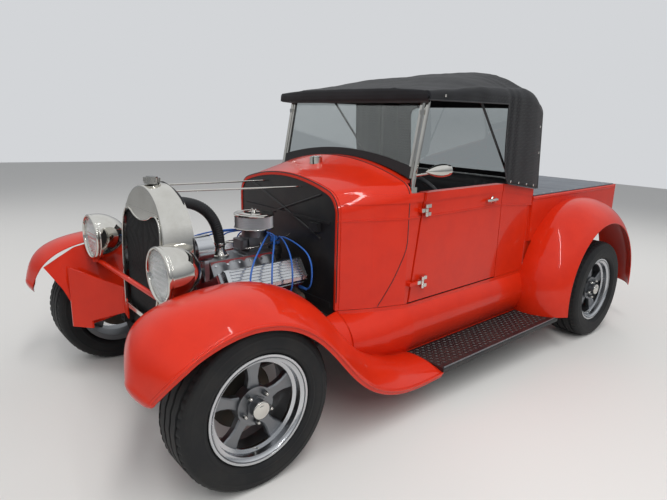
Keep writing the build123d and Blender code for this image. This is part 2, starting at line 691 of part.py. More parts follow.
def radiator_core():
    """Core with its upright fins and the header tank, on the shell's bottom plate."""
    low = SHELL_LOW + SHELL_WALL + SEAT
    core = block((-CORE_HALF, CORE_HALF), (-56, 12), (low, CORE_TOP))
    pitch = 2 * CORE_HALF / CORE_FINS
    for index in range(CORE_FINS):
        x = -CORE_HALF + pitch * (index + 0.5)
        core += block((x - 2.5, x + 2.5), (-62, -55), (low, CORE_TOP))
    core += block((-150, 150), (-46, 18), (CORE_TOP, CORE_TOP + 34))
    return core + block((-112, 112), (-46, 18), (CORE_TOP + 34, TANK_TOP))


def radiator_cap(solid):
    """Filler cap on the shell's crown: neck flange and knurled head."""
    at = Pos(0, -22, 1052) * Rot(-SHELL_LEAN, 0, 0)
    cap = at * Cylinder(33, 26) + at * Pos(0, 0, 14) * Cylinder(25, 8)
    for turn in range(12):
        cap += at * Rot(0, 0, 30 * turn) * Pos(33, 0, 4) * Cylinder(3, 18)
    return seated(cap, solid, z=1)


def support_rods(shell):
    """Two rods from under the shell's top to the firewall."""
    rods = rod((110, 4, 1016), (146, FIREWALL_Y + 4 - SEAT - 1, 996), 4)
    return pair(seated(rods, shell, z=-1))


# Body

def seam_knife(shift):
    """Side outline of everything behind the cowl's rear seam, moved back by shift."""
    outline = [(SEAM_Y + shift, 1300), (SEAM_Y + shift, 760), (SEAM_Y - 30 + shift, 640), (SEAM_Y - 78 + shift, 530),
               (SEAM_Y - 143 + shift, BODY_LOW - 10), (1400, BODY_LOW - 10), (1400, 1300)]
    return side_sheet(outline, -700, 700)


def cowl_solid():
    """The cowl's outside to the door openings, with its belt raised."""
    rear = COWL_SECTIONS[-1]
    rows = COWL_SECTIONS + [(DOOR_TOP_Y + 10,) + rear[1:]]
    outer = belt = None
    for one, two in zip(rows, rows[1:]):
        piece = loft([body_section(*row, BODY_LOW) for row in (one, two)])
        grown = loft([body_section(y, half + BELT_OUT, shoulder, crown, radius, BODY_LOW)
                      for y, half, shoulder, crown, radius in (one, two)])
        outer = piece if outer is None else outer + piece
        belt = grown if belt is None else belt + grown
    raised = belt & block((-700, 700), (FIREWALL_Y + 18, 1400), (BELT_Z - BELT_H, BELT_Z))
    bead = belt & block((-700, 700), (FIREWALL_Y, 1400), (BEAD_Z, BEAD_Z + 7))
    return outer + raised + bead


def full_cowl(solid):
    """Cowl shell carried on behind its seam to the door openings."""
    front, rear = COWL_SECTIONS[0], COWL_SECTIONS[-1]
    rows = [(front[0] - 4,) + front[1:]] + COWL_SECTIONS + [(DOOR_TOP_Y + 12,) + rear[1:]]
    rows = [(row[0],) + tuple(size - BODY_WALL for size in row[1:]) for row in rows]
    inner = None
    for one, two in zip(rows, rows[1:]):
        piece = loft([body_section(*row, BODY_LOW - 40) for row in (one, two)])
        inner = piece if inner is None else inner + piece
    return solid - inner


def cowl(shell):
    """Front cowl panel over the tank, up to the seam."""
    return shell - seam_knife(-SEAT / 2)


def door_posts(shell):
    """Posts and dash rail between the cowl's seam and the doors, with the hinge leaves and pins."""
    posts = shell & seam_knife(SEAT / 2)
    behind = [(DOOR_TOP_Y - CLEAR, BELT_Z + 2), (DOOR_LOW_Y - CLEAR, BODY_LOW - 10), (1400, BODY_LOW - 10),
              (1400, BELT_Z + 2)]
    posts -= side_sheet(behind, -700, 700)
    posts -= block((-700, 700), (1064, 1400), (BELT_Z, 1400))
    for side in (-1, 1):
        posts -= block(sorted((side * POST_SEAT_X, side * 700)), (POST_SEAT_Y, 1400), (BELT_Z, 1400))
    out = BODY_HALF + HINGE_OUT
    for z in HINGE_LEVELS:
        foot = door_edge(z) - CLEAR - 4
        leaf = block((out - 8, out), (foot - 24, HINGE_Y), (z - 9, z + 9))
        leaf += block((BODY_HALF - 16, out), (foot - 24, foot), (z - 9, z + 9))
        leaf += Pos(out, HINGE_Y, z) * Cylinder(HINGE_R, 18)
        leaf += Pos(out, HINGE_Y, z) * Cylinder(HINGE_PIN_R, 64)
        for half in pair(leaf):
            posts += half
    return posts


def door_edge(z):
    """The door's front edge at height z."""
    share = (BELT_Z - z) / (BELT_Z - BODY_LOW - CLEAR)
    return DOOR_TOP_Y + (DOOR_LOW_Y - DOOR_TOP_Y) * share


def firewall():
    """Black bulkhead in the cowl's mouth, with its ledge and crossed ribs."""
    _, half, shoulder, crown, radius = COWL_SECTIONS[0]
    trim = BODY_WALL + SEAT
    low = BODY_LOW
    panel = extrude(body_section(FIREWALL_Y + 14, half - trim, shoulder - trim, crown - trim, radius - trim, low), amount=10)
    front = FIREWALL_Y + 4
    for x, z in ((-300, 975), (-300, 760), (300, 975), (300, 760)):
        panel += rod((0, front, 872), (x, front, z), 6)
    panel += block((-370, 370), (front - 6, front), (842, 854))
    panel += block((-half + 40, half - 40), (front - 5, front), (low + 4, low + 30))
    panel += block((240, 300), (front - 26, front), (796, 838))
    return panel


def fuel_cap(solid):
    """Filler cap on the cowl's crown, over the tank."""
    at = Pos(0, FIREWALL_Y + 209, 1098) * Rot(3, 0, 0)
    cap = at * Cylinder(33, 50) + at * Pos(0, 0, 12) * Cylinder(28, 34)
    return seated(cap, solid, z=1)


def door():
    """Left door: deep panel with its belt, pocket and two bored hinge barrels."""
    top, low = BELT_Z, BODY_LOW + CLEAR
    outline = [(DOOR_TOP_Y, top), (DOOR_REAR_Y, top), (DOOR_REAR_Y, low), (DOOR_LOW_Y, low)]
    panel = side_sheet(outline, BODY_HALF - DOOR_T, BODY_HALF)
    pocket = [(DOOR_TOP_Y + 70, top - 120), (DOOR_REAR_Y - 60, top - 120), (DOOR_REAR_Y - 60, low + 60),
              (DOOR_TOP_Y + 30, low + 60)]
    panel -= side_sheet(pocket, BODY_HALF - DOOR_T, BODY_HALF - DOOR_T + 14)
    belt = [(DOOR_TOP_Y + 6, top), (DOOR_REAR_Y, top), (DOOR_REAR_Y, top - BELT_H), (DOOR_TOP_Y, top - BELT_H)]
    panel += side_sheet(belt, BODY_HALF, BODY_HALF + BELT_OUT)
    bead = [(door_edge(BEAD_Z) + 2, BEAD_Z), (DOOR_REAR_Y, BEAD_Z), (DOOR_REAR_Y, BEAD_Z + 7), (door_edge(BEAD_Z) + 2, BEAD_Z + 7)]
    panel += side_sheet(bead, BODY_HALF, BODY_HALF + BELT_OUT)
    out = BODY_HALF + HINGE_OUT
    for z in HINGE_LEVELS:
        for end in (-1, 1):
            middle = z + end * 20
            panel += Pos(out, HINGE_Y, middle) * Cylinder(HINGE_R, 20)
            panel += block((BODY_HALF - 4, out), (HINGE_Y + 3, HINGE_Y + 36), (middle - 10, middle + 10))
        panel -= Pos(out, HINGE_Y, z) * Cylinder(HINGE_PIN_R + 0.05, 70)
        panel -= Pos(out, HINGE_Y, z) * Cylinder(HINGE_R + CLEAR, 18 + 2 * SEAT)
    return panel + handle()


def handle():
    """Outside door handle: a plated lever on its boss."""
    y, z = DOOR_REAR_Y - 92, BELT_Z - 82
    grip = Pos(BODY_HALF + 8, y, z) * Rot(0, 90, 0) * Cylinder(15, 18)
    lever = block((BODY_HALF + 12, BODY_HALF + 26), (y - 78, y + 8), (z - 8, z + 8))
    return grip + chamfer(lever.edges().filter_by(Axis.Y), 4)


def cab_rear():
    """Quarter panels and back panel behind the doors."""
    front = DOOR_REAR_Y + CLEAR
    outline = [(front, BELT_Z), (CAB_BACK_Y, BELT_REAR_Z), (CAB_BACK_Y, BODY_LOW), (front, BODY_LOW)]
    body = side_sheet(outline, -BODY_HALF, BODY_HALF)
    belt = [(front, BELT_Z), (CAB_BACK_Y, BELT_REAR_Z), (CAB_BACK_Y, BELT_REAR_Z - BELT_H), (front, BELT_Z - BELT_H)]
    bead = [(front, BEAD_Z), (CAB_BACK_Y, BEAD_Z - 30), (CAB_BACK_Y, BEAD_Z - 23), (front, BEAD_Z + 7)]
    for raised in (belt, bead):
        body += side_sheet(raised, -BODY_HALF - BELT_OUT, BODY_HALF + BELT_OUT)
    body = fillet(body.edges().filter_by(Axis.Z).group_by(Axis.Y)[-1].filter_by(lambda e: e.length > 300), 40)
    back = CAB_BACK_Y - BODY_WALL
    inside = [(front - 1, BELT_Z + 60), (back, BELT_Z + 60), (back, BODY_LOW - 1), (front - 1, BODY_LOW - 1)]
    hollow = side_sheet(inside, -BODY_HALF + BODY_WALL, BODY_HALF - BODY_WALL)
    return body - fillet(hollow.edges().filter_by(Axis.Z).group_by(Axis.Y)[-1], 40 - BODY_WALL)


def floor_plan(edge):
    """Floor outline in plan, in by edge from the cowl's and cab's outside."""
    left = [(half - 2 - edge, y) for y, half, *_ in COWL_SECTIONS[:2]]
    left = [(left[0][0], FIREWALL_Y + 4 + edge), left[1], (BODY_HALF - 4 - edge, SEAM_Y + 20),
            (BODY_HALF - 4 - edge, CAB_BACK_Y - edge)]
    return make_face(Polyline(*left, *[(-x, y) for x, y in reversed(left)], close=True))


def floor_pan():
    """Cab floor on the rails, with a raised sill all round under the body."""
    floor = Pos(0, 0, FLOOR_Z) * extrude(floor_plan(0), amount=BODY_LOW - SEAT - FLOOR_Z)
    return floor - Pos(0, 0, FLOOR_Z + FLOOR_T) * extrude(floor_plan(SILL_W), amount=BODY_LOW)


def seat():
    """Bench seat: cushion on its riser and a leaned back."""
    half = BODY_HALF - 66
    low = FLOOR_Z + FLOOR_T + SEAT
    cushion = block((-half, half), (1450, 1930), (low, 620))
    cushion = fillet(cushion.faces().sort_by(Axis.Z)[-1].edges(), 34)
    back = block((-half, half), (1936, 2076), (low, 1000))
    return [cushion, fillet(back.faces().sort_by(Axis.Z)[-1].edges(), 40)]


def dashboard():
    """Dash panel under the rail, shaped to the cowl's inside."""
    _, half, shoulder, crown, radius = COWL_SECTIONS[-1]
    trim = BODY_WALL + SEAT
    return extrude(body_section(SEAM_Y + 14, half - trim, shoulder - trim, crown - trim, radius - trim, 860), amount=11)


def screen_plane():
    """Plane of the windscreen, with local y up along its lean from floor level 1000."""
    tilt = math.radians(SCREEN_LEAN)
    return Plane(origin=(0, SCREEN_Y, 1000), x_dir=(1, 0, 0), z_dir=(0, -math.cos(tilt), math.sin(tilt)))


def screen_outline(edge, foot_mid, foot_end):
    """Outline between the header and the arched foot, edge in from the frame's outside."""
    half = SCREEN_HALF - edge
    top = (SCREEN_TOP - 1000) / math.cos(math.radians(SCREEN_LEAN)) - edge
    edges = Polyline((half, foot_end), (half, top), (-half, top), (-half, foot_end))
    edges += ThreePointArc((-half, foot_end), (0, foot_mid), (half, foot_end))
    return make_face(edges)


def windscreen_frame():
    """Plated frame round the pane, with its two stanchions standing on the door posts."""
    frame = extrude(screen_plane() * screen_outline(0, 150, 52), amount=9, both=True)
    frame -= extrude(screen_plane() * screen_outline(14, 168, 104), amount=9, both=True)
    low = Vector(POST_SEAT_X + 34, SCREEN_Y, BELT_Z + SEAT)
    for side in (-1, 1):
        frame += block(sorted((side * (low.X - 16), side * (low.X + 16))), (low.Y - 20, low.Y + 20), (low.Z, low.Z + 26))
        frame += rod((side * low.X, low.Y, low.Z + 10), (side * (low.X + 2), low.Y + 84, SCREEN_TOP), 11)
        frame += block(sorted((side * (SCREEN_HALF - 2), side * (low.X + 2))), (1096, 1116), (1350, 1372))
    return frame


def windscreen_glass():
    """Flat laminated pane, held in the frame's groove."""
    return extrude(screen_plane() * screen_outline(14 + SEAT, 168 + SEAT, 104 + SEAT), amount=3, both=True)


def mirror_shape():
    """Left outside mirror: a bullet-shaped shell on a rod from the stanchion."""
    profile = ThreePointArc((0, 0), (24, 62), (31, 138)) + Polyline((31, 138), (27, 166), (0, 166), (0, 0))
    shell = Pos(650, 996, 1098) * revolve(Plane.XY * make_face(profile), axis=Axis.Y)
    return shell + rod((534, 1056, 1064), (640, 1110, 1094), 6)


TOP_SECTIONS = [
    # y, half, shoulder, crown, radius
    (TOP_FRONT_Y, 588.0, 1478.0, 1512.0, 30.0),
    (1500.0, 596.0, 1514.0, 1572.0, 62.0),
    (1960.0, 594.0, 1546.0, 1614.0, 108.0),
    (2090.0, 588.0, 1520.0, 1582.0, 104.0),
    (2156.0, 574.0, 1452.0, 1490.0, 84.0),
]


def soft_top():
    """Fabric top as a closed shell: crowned roof, valances, rear quarters and back."""
    outer = loft([body_section(*row, BELT_REAR_Z + 4) for row in TOP_SECTIONS], ruled=True)
    shifts = [2] + [0] * (len(TOP_SECTIONS) - 2) + [TOP_WALL]
    inner = loft([
        body_section(y - shift, half - TOP_WALL, shoulder - TOP_WALL, crown - TOP_WALL, radius - TOP_WALL, 700)
        for (y, half, shoulder, crown, radius), shift in zip(TOP_SECTIONS, shifts)], ruled=True)
    body = outer - inner
    body -= block((-700, 700), (900, CURTAIN_FRONT_Y), (600, TOP_VALANCE_Z))
    below = [(1700, BELT_Z + SEAT), (DOOR_REAR_Y + CLEAR, BELT_Z + SEAT), (CAB_BACK_Y, BELT_REAR_Z + SEAT),
             (CAB_BACK_Y + 60, BELT_REAR_Z + SEAT), (CAB_BACK_Y + 60, 500), (1700, 500)]
    body -= side_sheet(below, -700, 700)
    body -= block((-700, 700), (1700, DOOR_REAR_Y + 1), (900, BELT_Z + CLEAR))
    return body - block((-REAR_PANE[0], REAR_PANE[0]), (2100, 2300), REAR_PANE[1:])


def rear_pane():
    """Clear pane sewn in the top's back."""
    x, z0, z1 = REAR_PANE
    return block((-x + SEAT, x - SEAT), (2148, 2152), (z0 + SEAT, z1 - SEAT))


# Bed

def bed():
    """Open box bed: sides with rolled rails and stake holes, front wall, floor and gate pins."""
    body = block((-BED_HALF, BED_HALF), (BED_FRONT_Y, BED_BACK_Y), (BED_LOW, BED_TOP))
    inner = BED_HALF - BED_WALL
    body -= block((-inner, inner), (BED_FRONT_Y + BED_WALL, BED_BACK_Y + 1), (BED_LOW + BED_WALL, BED_TOP + 1))
    body -= block((-inner, inner), (BED_BACK_Y - GATE_T - CLEAR, BED_BACK_Y + 1), (BED_LOW - 1, BED_TOP + 1))
    rail = block((inner - BED_RAIL_W + BED_WALL, BED_HALF + 5), (BED_FRONT_Y, BED_BACK_Y - GATE_T - CLEAR),
                 (BED_TOP - BED_RAIL_H, BED_TOP))
    rail = chamfer(rail.edges().filter_by(Axis.Y).group_by(Axis.X)[-1], 7)
    for share in STAKE_SPANS:
        y = BED_FRONT_Y + (BED_BACK_Y - BED_FRONT_Y) * share
        rail -= block((BED_HALF - 24, BED_HALF - 4), (y - 22, y + 22), (BED_TOP - BED_RAIL_H - 1, BED_TOP + 1))
    for half in pair(rail):
        body += half
    pin = rod((inner - 22, BED_BACK_Y - GATE_T / 2, GATE_PIN_Z), (inner + 2, BED_BACK_Y - GATE_T / 2, GATE_PIN_Z), GATE_PIN_R)
    for half in pair(pin):
        body += half
    return body


def tailgate():
    """Tailgate between the bed's sides, bored for the pins at its foot."""
    half = BED_HALF - BED_WALL - CLEAR
    y1 = BED_BACK_Y
    y0 = y1 - GATE_T
    gate = block((-half, half), (y0, y1), (GATE_PIN_Z, BED_TOP - 4))
    gate += rod((-half, (y0 + y1) / 2, GATE_PIN_Z), (half, (y0 + y1) / 2, GATE_PIN_Z), GATE_T / 2)
    for x0, x1 in ((-half + 60, -30), (30, half - 60)):
        gate -= block((x0, x1), (y1 - 5, y1 + 1), (GATE_PIN_Z + 50, BED_TOP - 50))
    for side in (-1, 1):
        gate -= rod((side * (half - 20), (y0 + y1) / 2, GATE_PIN_Z), (side * (half + 1), (y0 + y1) / 2, GATE_PIN_Z),
                    GATE_PIN_R + 0.05)
    return gate


def tonneau():
    """Vinyl bed cover, drawn tight over the rails."""
    half = BED_HALF + 2
    back = BED_BACK_Y - GATE_T - CLEAR
    cover = block((-half, half), (BED_FRONT_Y + 2, back), (BED_TOP + SEAT, BED_TOP + 9))
    return chamfer(cover.edges().filter_by(Axis.Y).group_by(Axis.Z)[-1], 5)


# Fenders and boards

FRONT_FENDER = [
    # lip y, lip z, lean forward, crest height, lip x, crest x, inner x, inner height
    (-372.0, 466.0, 44.0, 62.0, 770.0, 700.0, 620.0, 40.0),
    (-330.0, 545.0, 30.0, 84.0, 832.0, 706.0, 548.0, 66.0),
    (-205.0, 622.0, 14.0, 84.0, 850.0, 700.0, 520.0, 70.0),
    (-52.0, 650.0, 0.0, 74.0, 850.0, 690.0, 514.0, 62.0),
    (110.0, 618.0, -14.0, 92.0, 850.0, 680.0, 512.0, 84.0),
    (262.0, 514.0, -36.0, 112.0, 850.0, 680.0, 516.0, 104.0),
    (385.0, 375.0, -52.0, 112.0, 846.0, 690.0, 530.0, 108.0),
    (520.0, 248.0, -46.0, 104.0, 838.0, 700.0, 548.0, 102.0),
    (700.0, 162.0, -28.0, 84.0, 826.0, 704.0, 560.0, 84.0),
    (880.0, 134.0, -10.0, 54.0, 814.0, 704.0, 566.0, 54.0),
    (BOARD_FRONT_Y, 134.0, 0.0, 34.0, 808.0, 704.0, 568.0, 34.0),
]

FENDER_WALL = [
    # top x, top y, top z, foot x, foot y, foot z
    (549.5, -360.0, 594.0, 492.0, -295.0, 484.0),
    (534.0, -290.0, 640.0, 452.0, -262.0, 391.0),
    (521.5, -221.0, 682.0, 448.0, -205.0, 293.0),
    (517.5, -140.0, 698.0, RAIL_OUT + SEAT, -129.0, 336.0),
    (515.5, -52.0, 705.0, RAIL_OUT + SEAT, -52.0, 350.0),
    (513.5, 129.0, 692.0, RAIL_OUT + SEAT, 45.0, 358.0),
    (517.5, 320.0, 591.0, 404.0, 190.0, 400.0),
    (531.5, 466.0, 435.0, 500.0, 438.0, 416.0),
]


def fender_section(lip_y, lip_z, lean, crest, lip_x, crest_x, inner_x, inner):
    """Thin crowned section from the lip over the crest to the inner edge."""
    tilt = math.radians(lean)
    up = Vector(0, -math.sin(tilt), math.cos(tilt))
    plane = Plane(origin=(0, lip_y, lip_z), x_dir=(1, 0, 0), z_dir=Vector(1, 0, 0).cross(up))
    t = SHEET_T
    edges = ThreePointArc((lip_x, 0), (crest_x, crest), (inner_x, inner))
    edges += Line((inner_x, inner), (inner_x, inner - t))
    edges += ThreePointArc((inner_x, inner - t), (crest_x, crest - t), (lip_x - t, 0))
    return plane * make_face(edges + Line((lip_x - t, 0), (lip_x, 0)))


def front_fender():
    """Left front fender, lofted through its sections."""
    return loft([fender_section(*row) for row in FRONT_FENDER])


def wall_band(inset, width):
    """Flat-sided stretches along the left fender's inner wall, from inset to width outside it."""
    faces = []
    for top_x, top_y, top_z, foot_x, foot_y, foot_z in FENDER_WALL:
        corners = [(top_x + inset, top_y, top_z), (foot_x + inset, foot_y, foot_z),
                   (foot_x + width, foot_y, foot_z), (top_x + width, top_y, top_z)]
        faces.append(make_face(Polyline(*corners, close=True)))
    return loft(faces, ruled=True)


def front_apron(outside, shell):
    """Left panel between the radiator shell's side and the fender's inner wall."""
    t = SHEET_T
    plan = [(150, -112), (246, -96), (540, -347), (544, -342), (248, -90), (150, -106)]
    panel = Pos(0, 0, 300) * extrude(make_face(Polyline(*plan, close=True)), amount=330)
    cut = [(100, 250), (378, 250), (378, 338), (240, 398), (100, 398)]
    panel -= extrude(across(200) * make_face(Polyline(*cut, close=True)), amount=800)
    top = [(100, 470), (236, 520), (452, 600), (600, 640), (600, 900), (100, 900)]
    panel -= extrude(across(200) * make_face(Polyline(*top, close=True)), amount=800)
    panel -= block((100, 700), (-400, -270 - t), (200, 700))
    return seated(seated(panel, shell, x=1), outside, x=-1)


def rear_fender():
    """Left rear fender, turned about the rear axle and cut at the board's level."""
    inner = BED_HALF + SEAT
    t = SHEET_T
    edges = ThreePointArc((850, 452), (770, 548), (inner, 586))
    edges += Line((inner, 586), (inner, 586 - t)) + ThreePointArc((inner, 586 - t), (770, 548 - t), (850 - t, 452))
    edges += Line((850 - t, 452), (850, 452))
    turned = revolve(Rot(-164, 0, 0) * (Plane.XY * make_face(edges)), axis=Axis.X, revolution_arc=-208)
    turned = Pos(0, REAR_AXLE_Y, REAR_AXLE_Z) * turned
    turned -= block((500, 900), (REAR_AXLE_Y - 700, REAR_AXLE_Y), (-100, BOARD_TOP + SEAT))
    return turned - block((500, 900), (REAR_AXLE_Y, REAR_AXLE_Y + 700), (-100, 206))


def running_boards():
    """Pressed steps with a rounded, turned-down outer edge."""
    board = block((BOARD_IN, BOARD_OUT), (BOARD_FRONT_Y + SEAT, BOARD_BACK_Y), (BOARD_TOP - BOARD_T, BOARD_TOP))
    board = fillet(board.edges().filter_by(Axis.Y).group_by(Axis.X)[-1].group_by(Axis.Z)[-1], 10)
    board -= block((BOARD_IN + 8, BOARD_OUT - 8), (BOARD_FRONT_Y + 8, BOARD_BACK_Y - 8), (0, BOARD_TOP - 8))
    return pair(board)


def splash_apron():
    """Left bulged panel between the body's sill and the inner edge of board and fender."""
    wide = BODY_HALF - 4 + SEAT
    rows = [
        # y, top x, bulge x, bulge z, edge x, edge z
        (FIREWALL_Y + 6, COWL_SECTIONS[0][1] + SEAT, 512.0, 372.0, 556.0, 273.0),
        (739.0, 454.0, 540.0, 344.0, 560.0, 236.0),
        (889.0, 518.0, 580.0, 306.0, 566.0, 187.0),
        (SEAM_Y + 20, wide, 600.0, 292.0, BOARD_IN, 169.0),
        (BOARD_FRONT_Y, wide, 602.0, 290.0, BOARD_IN, BOARD_TOP),
        (BOARD_BACK_Y - 70, wide, 602.0, 290.0, BOARD_IN, BOARD_TOP),
    ]
    t = SHEET_T
    faces = []
    for y, top, bulge, middle, edge_x, edge_z in rows:
        high, foot, low, bend = BODY_LOW - 2, edge_x - APRON_GAP - t, edge_z - 12, edge_z + 5
        edges = Polyline((top, high - 18), (top, high), (top + t, high), (top + t, high - 18))
        edges += ThreePointArc((top + t, high - 18), (bulge + t, middle), (foot + t, bend))
        edges += Polyline((foot + t, bend), (foot + t, low), (foot, low), (foot, bend))
        edges += ThreePointArc((foot, bend), (bulge, middle), (top, high - 18))
        faces.append(across(y) * make_face(edges))
    panel = loft(faces, ruled=True) - Pos(0, 0, 300) * extrude(floor_plan(-SEAT), amount=300)
    return panel.solids().sort_by(lambda piece: piece.volume)[-1]


# Lamps

def headlamp_solid():
    """Left lamp bowl's outside about the X axis, front at the origin."""
    edges = Polyline((0, 0), (0, LAMP_R - 6), (6, LAMP_R), (22, LAMP_R))
    edges += ThreePointArc((22, LAMP_R), (100, LAMP_R * 0.78), (LAMP_DEPTH, 14))
    edges += Polyline((LAMP_DEPTH, 14), (LAMP_DEPTH, 0), (0, 0))
    return Pos(LAMP_X, LAMP_Y, LAMP_Z) * Rot(0, 0, 90) * revolve(Plane.XY * make_face(edges), axis=Axis.X)


def headlamp(solid):
    """Left lamp bowl with its rim, open at the lens."""
    return solid - Pos(LAMP_X, LAMP_Y + 9, LAMP_Z) * Rot(90, 0, 0) * Cylinder(LAMP_R - 10, 22)


def headlamp_lens():
    """Left lens: a shallow dome seated in the rim."""
    edges = Polyline((0, 14), (0, 0), (LAMP_R - 10.3, 0), (LAMP_R - 10.3, 8), (52, 12.5), (0, 14))
    dome = revolve(Plane.XY * make_face(edges), axis=Axis.Y)
    return Pos(LAMP_X, LAMP_Y + 20 - SEAT, LAMP_Z) * Rot(0, 0, 180) * dome


def headlamp_bar(outside, bowl):
    """Cross bar between the fenders' inner walls, with a cone under each lamp."""
    half = rod((-1, BAR_Y, BAR_Z), (560, BAR_Y, BAR_Z), BAR_R)
    half = (half - outside).solids().sort_by(Axis.X)[0]
    half += seated(Pos(LAMP_X, BAR_Y, BAR_Z + 20) * Cone(26, 17, 46), bowl, z=-1)
    return half + mirror(half, about=Plane.YZ)


def tail_lamp():
    """Left tail lamp: a bowl and lens on a stalk from the rail."""
    x, y = RAIL_OUT - RAIL_W / 2, RAIL_BACK - 26
    stalk = block((x - 14, x + 14), (y - 12, y + 12), (RAIL_TOP + SEAT, 482))
    stalk += rod((x, y, 470), (TAIL_X, y + 60, 470), 8)
    return stalk + rod((TAIL_X, y + 40, 470), (TAIL_X, y + 96, 470), 44)


def tail_lens():
    """Left tail lamp's lens."""
    y = RAIL_BACK + 70 + SEAT
    return rod((TAIL_X, y, 470), (TAIL_X, y + 10, 470), 40)


def steering_column():
    """Column tube from the toe board to the wheel's hub."""
    return rod((300, 760, 470), (300, 1376, 884), 20)


def steering_wheel():
    """Three-spoke wheel on its hub."""
    rim = Plane.XZ * Pos(185, 0) * RegularPolygon(14, 8)
    body = revolve(rim, axis=Axis.Z) + Cylinder(34, 30)
    for turn in range(3):
        body += Rot(0, 0, 90 + 120 * turn) * Pos(100, 0, 0) * Box(150, 26, 8)
    return body


def main():
    """Build every node and write its file."""
    os.makedirs("parts", exist_ok=True)

    engine = engine_block()
    save("engine_block", tip([engine]))
    save("valve_covers", tip(pair(valve_cover())))
    save("carburettor", tip([carburettor()]))
    save("air_cleaner", tip([air_cleaner()]))
    save("engine_front", tip(engine_front(engine)))
    save("exhaust", tip(headers(engine) + exhaust()))
    save("spark_box", tip([spark_box()]))
    save("plug_leads", tip(plug_leads()))

    axle_front, axle_rear = front_axle(), rear_axle()
    gears = gearbox()
    save("gearbox", tip([gears]))
    save("driveshaft", tip([driveshaft(gears, to_body(axle_rear))]))
    stacks = springs()
    save("frame", tip(frame_rails() + crossmembers()))
    save("front_axle", square([axle_front]))
    save("rear_axle", square([axle_rear]))
    save("springs", tip(stacks + spring_perches([to_body(axle_front), to_body(axle_rear)], stacks)))
    save("radius_rods", tip(radius_rods(to_body(axle_front))))

    solid = shell_solid()
    plated = radiator_shell(solid)
    save("radiator_shell", tip([plated]))
    save("radiator_core", tip([radiator_core()]))
    save("support_rods", tip(support_rods(plated)))
    save("radiator_hose", tip(radiator_hose()))

    panelled = cowl_solid()
    shell = full_cowl(panelled)
    save("cowl", tip([cowl(shell)]))
    save("door_posts", tip([door_posts(shell)]))
    save("filler_caps", tip([radiator_cap(solid), fuel_cap(panelled)]))
    save("firewall", tip([firewall()]))
    save("door_left", tip([door()]))
    save("door_right", tip([mirror(door(), about=Plane.YZ)]))
    save("cab_rear", tip([cab_rear()]))
    save("floor_pan", tip([floor_pan()]))
    save("seat", tip(seat()))
    save("dashboard", tip([dashboard()]))
    screen = windscreen_frame()
    save("windscreen_frame", tip([screen]))
    save("glass_panes", tip([windscreen_glass(), rear_pane()]))
    save("mirror", tip([seated(mirror_shape(), screen, x=1)]))
    save("soft_top", tip([soft_top()]))
    save("bed", tip([bed()]))
    save("tailgate", tip([tailgate()]))
    save("tonneau", tip([tonneau()]))

    fender = front_fender()
    save("front_fenders", tip(pair(fender)))
    wall, outside = wall_band(0, 4), wall_band(-SEAT, 260)
    save("rear_fenders", tip(pair(rear_fender())))
    save("running_boards", tip(running_boards()))
    aprons = [splash_apron(), front_apron(outside, solid), wall]
    save("splash_aprons", tip([half for apron in aprons for half in pair(apron)]))
    bowl = headlamp_solid()
    save("headlamps", tip(pair(headlamp(bowl))))
    save("headlamp_lenses", tip(pair(headlamp_lens())))
    save("headlamp_bar", tip([headlamp_bar(outside, bowl)]))
    save("tail_lamps", tip(pair(tail_lamp())))
    save("tail_lenses", tip(pair(tail_lens())))
    save("steering_column", tip([steering_column()]))
    lean = math.degrees(math.atan2(884 - 470, 1376 - 760))
    placed = Pos(300, 1376, 884) * Rot(lean - 90, 0, 0) * Pos(0, 0, 16) * steering_wheel()
    save("steering_wheel", tip([placed]))

    left = knuckle()
    save("knuckle_left", square([left]))
    save("knuckle_right", square([mirror(left, about=Plane.YZ)]))
    save("tie_rod", square([tie_rod()]))

    axles = [
        # name, y, tyre radius, tyre width, rim width, rim lip x
        ("front", 0.0, FRONT_TYRE_R, FRONT_TYRE_W, FRONT_RIM_W, FRONT_LIP_X),
        ("rear", WHEELBASE, REAR_TYRE_R, REAR_TYRE_W, REAR_RIM_W, REAR_LIP_X),
    ]
    for name, y, radius, tyre_w, rim_w, lip_x in axles:
        rubber = at_wheel(tyre(radius, tyre_w, rim_w, lip_x - rim_w / 2), y, radius)
        casting = at_wheel(wheel(rim_w, lip_x), y, radius)
        for side, flip in (("left", False), ("right", True)):
            pieces = [mirror(piece, about=Plane.YZ) if flip else piece for piece in (rubber, casting)]
            save(f"tyre_{name}_{side}", square(pieces[:1]))
            save(f"wheel_{name}_{side}", square(pieces[1:]))


main()
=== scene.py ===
"""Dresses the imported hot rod: paint, plating, rubber and cloth, then the studio and the camera."""
import json
import logging
import math
from dataclasses import dataclass
from enum import Enum
from typing import Any

import bmesh
import bpy
import numpy as np
from mathutils import Matrix, Vector

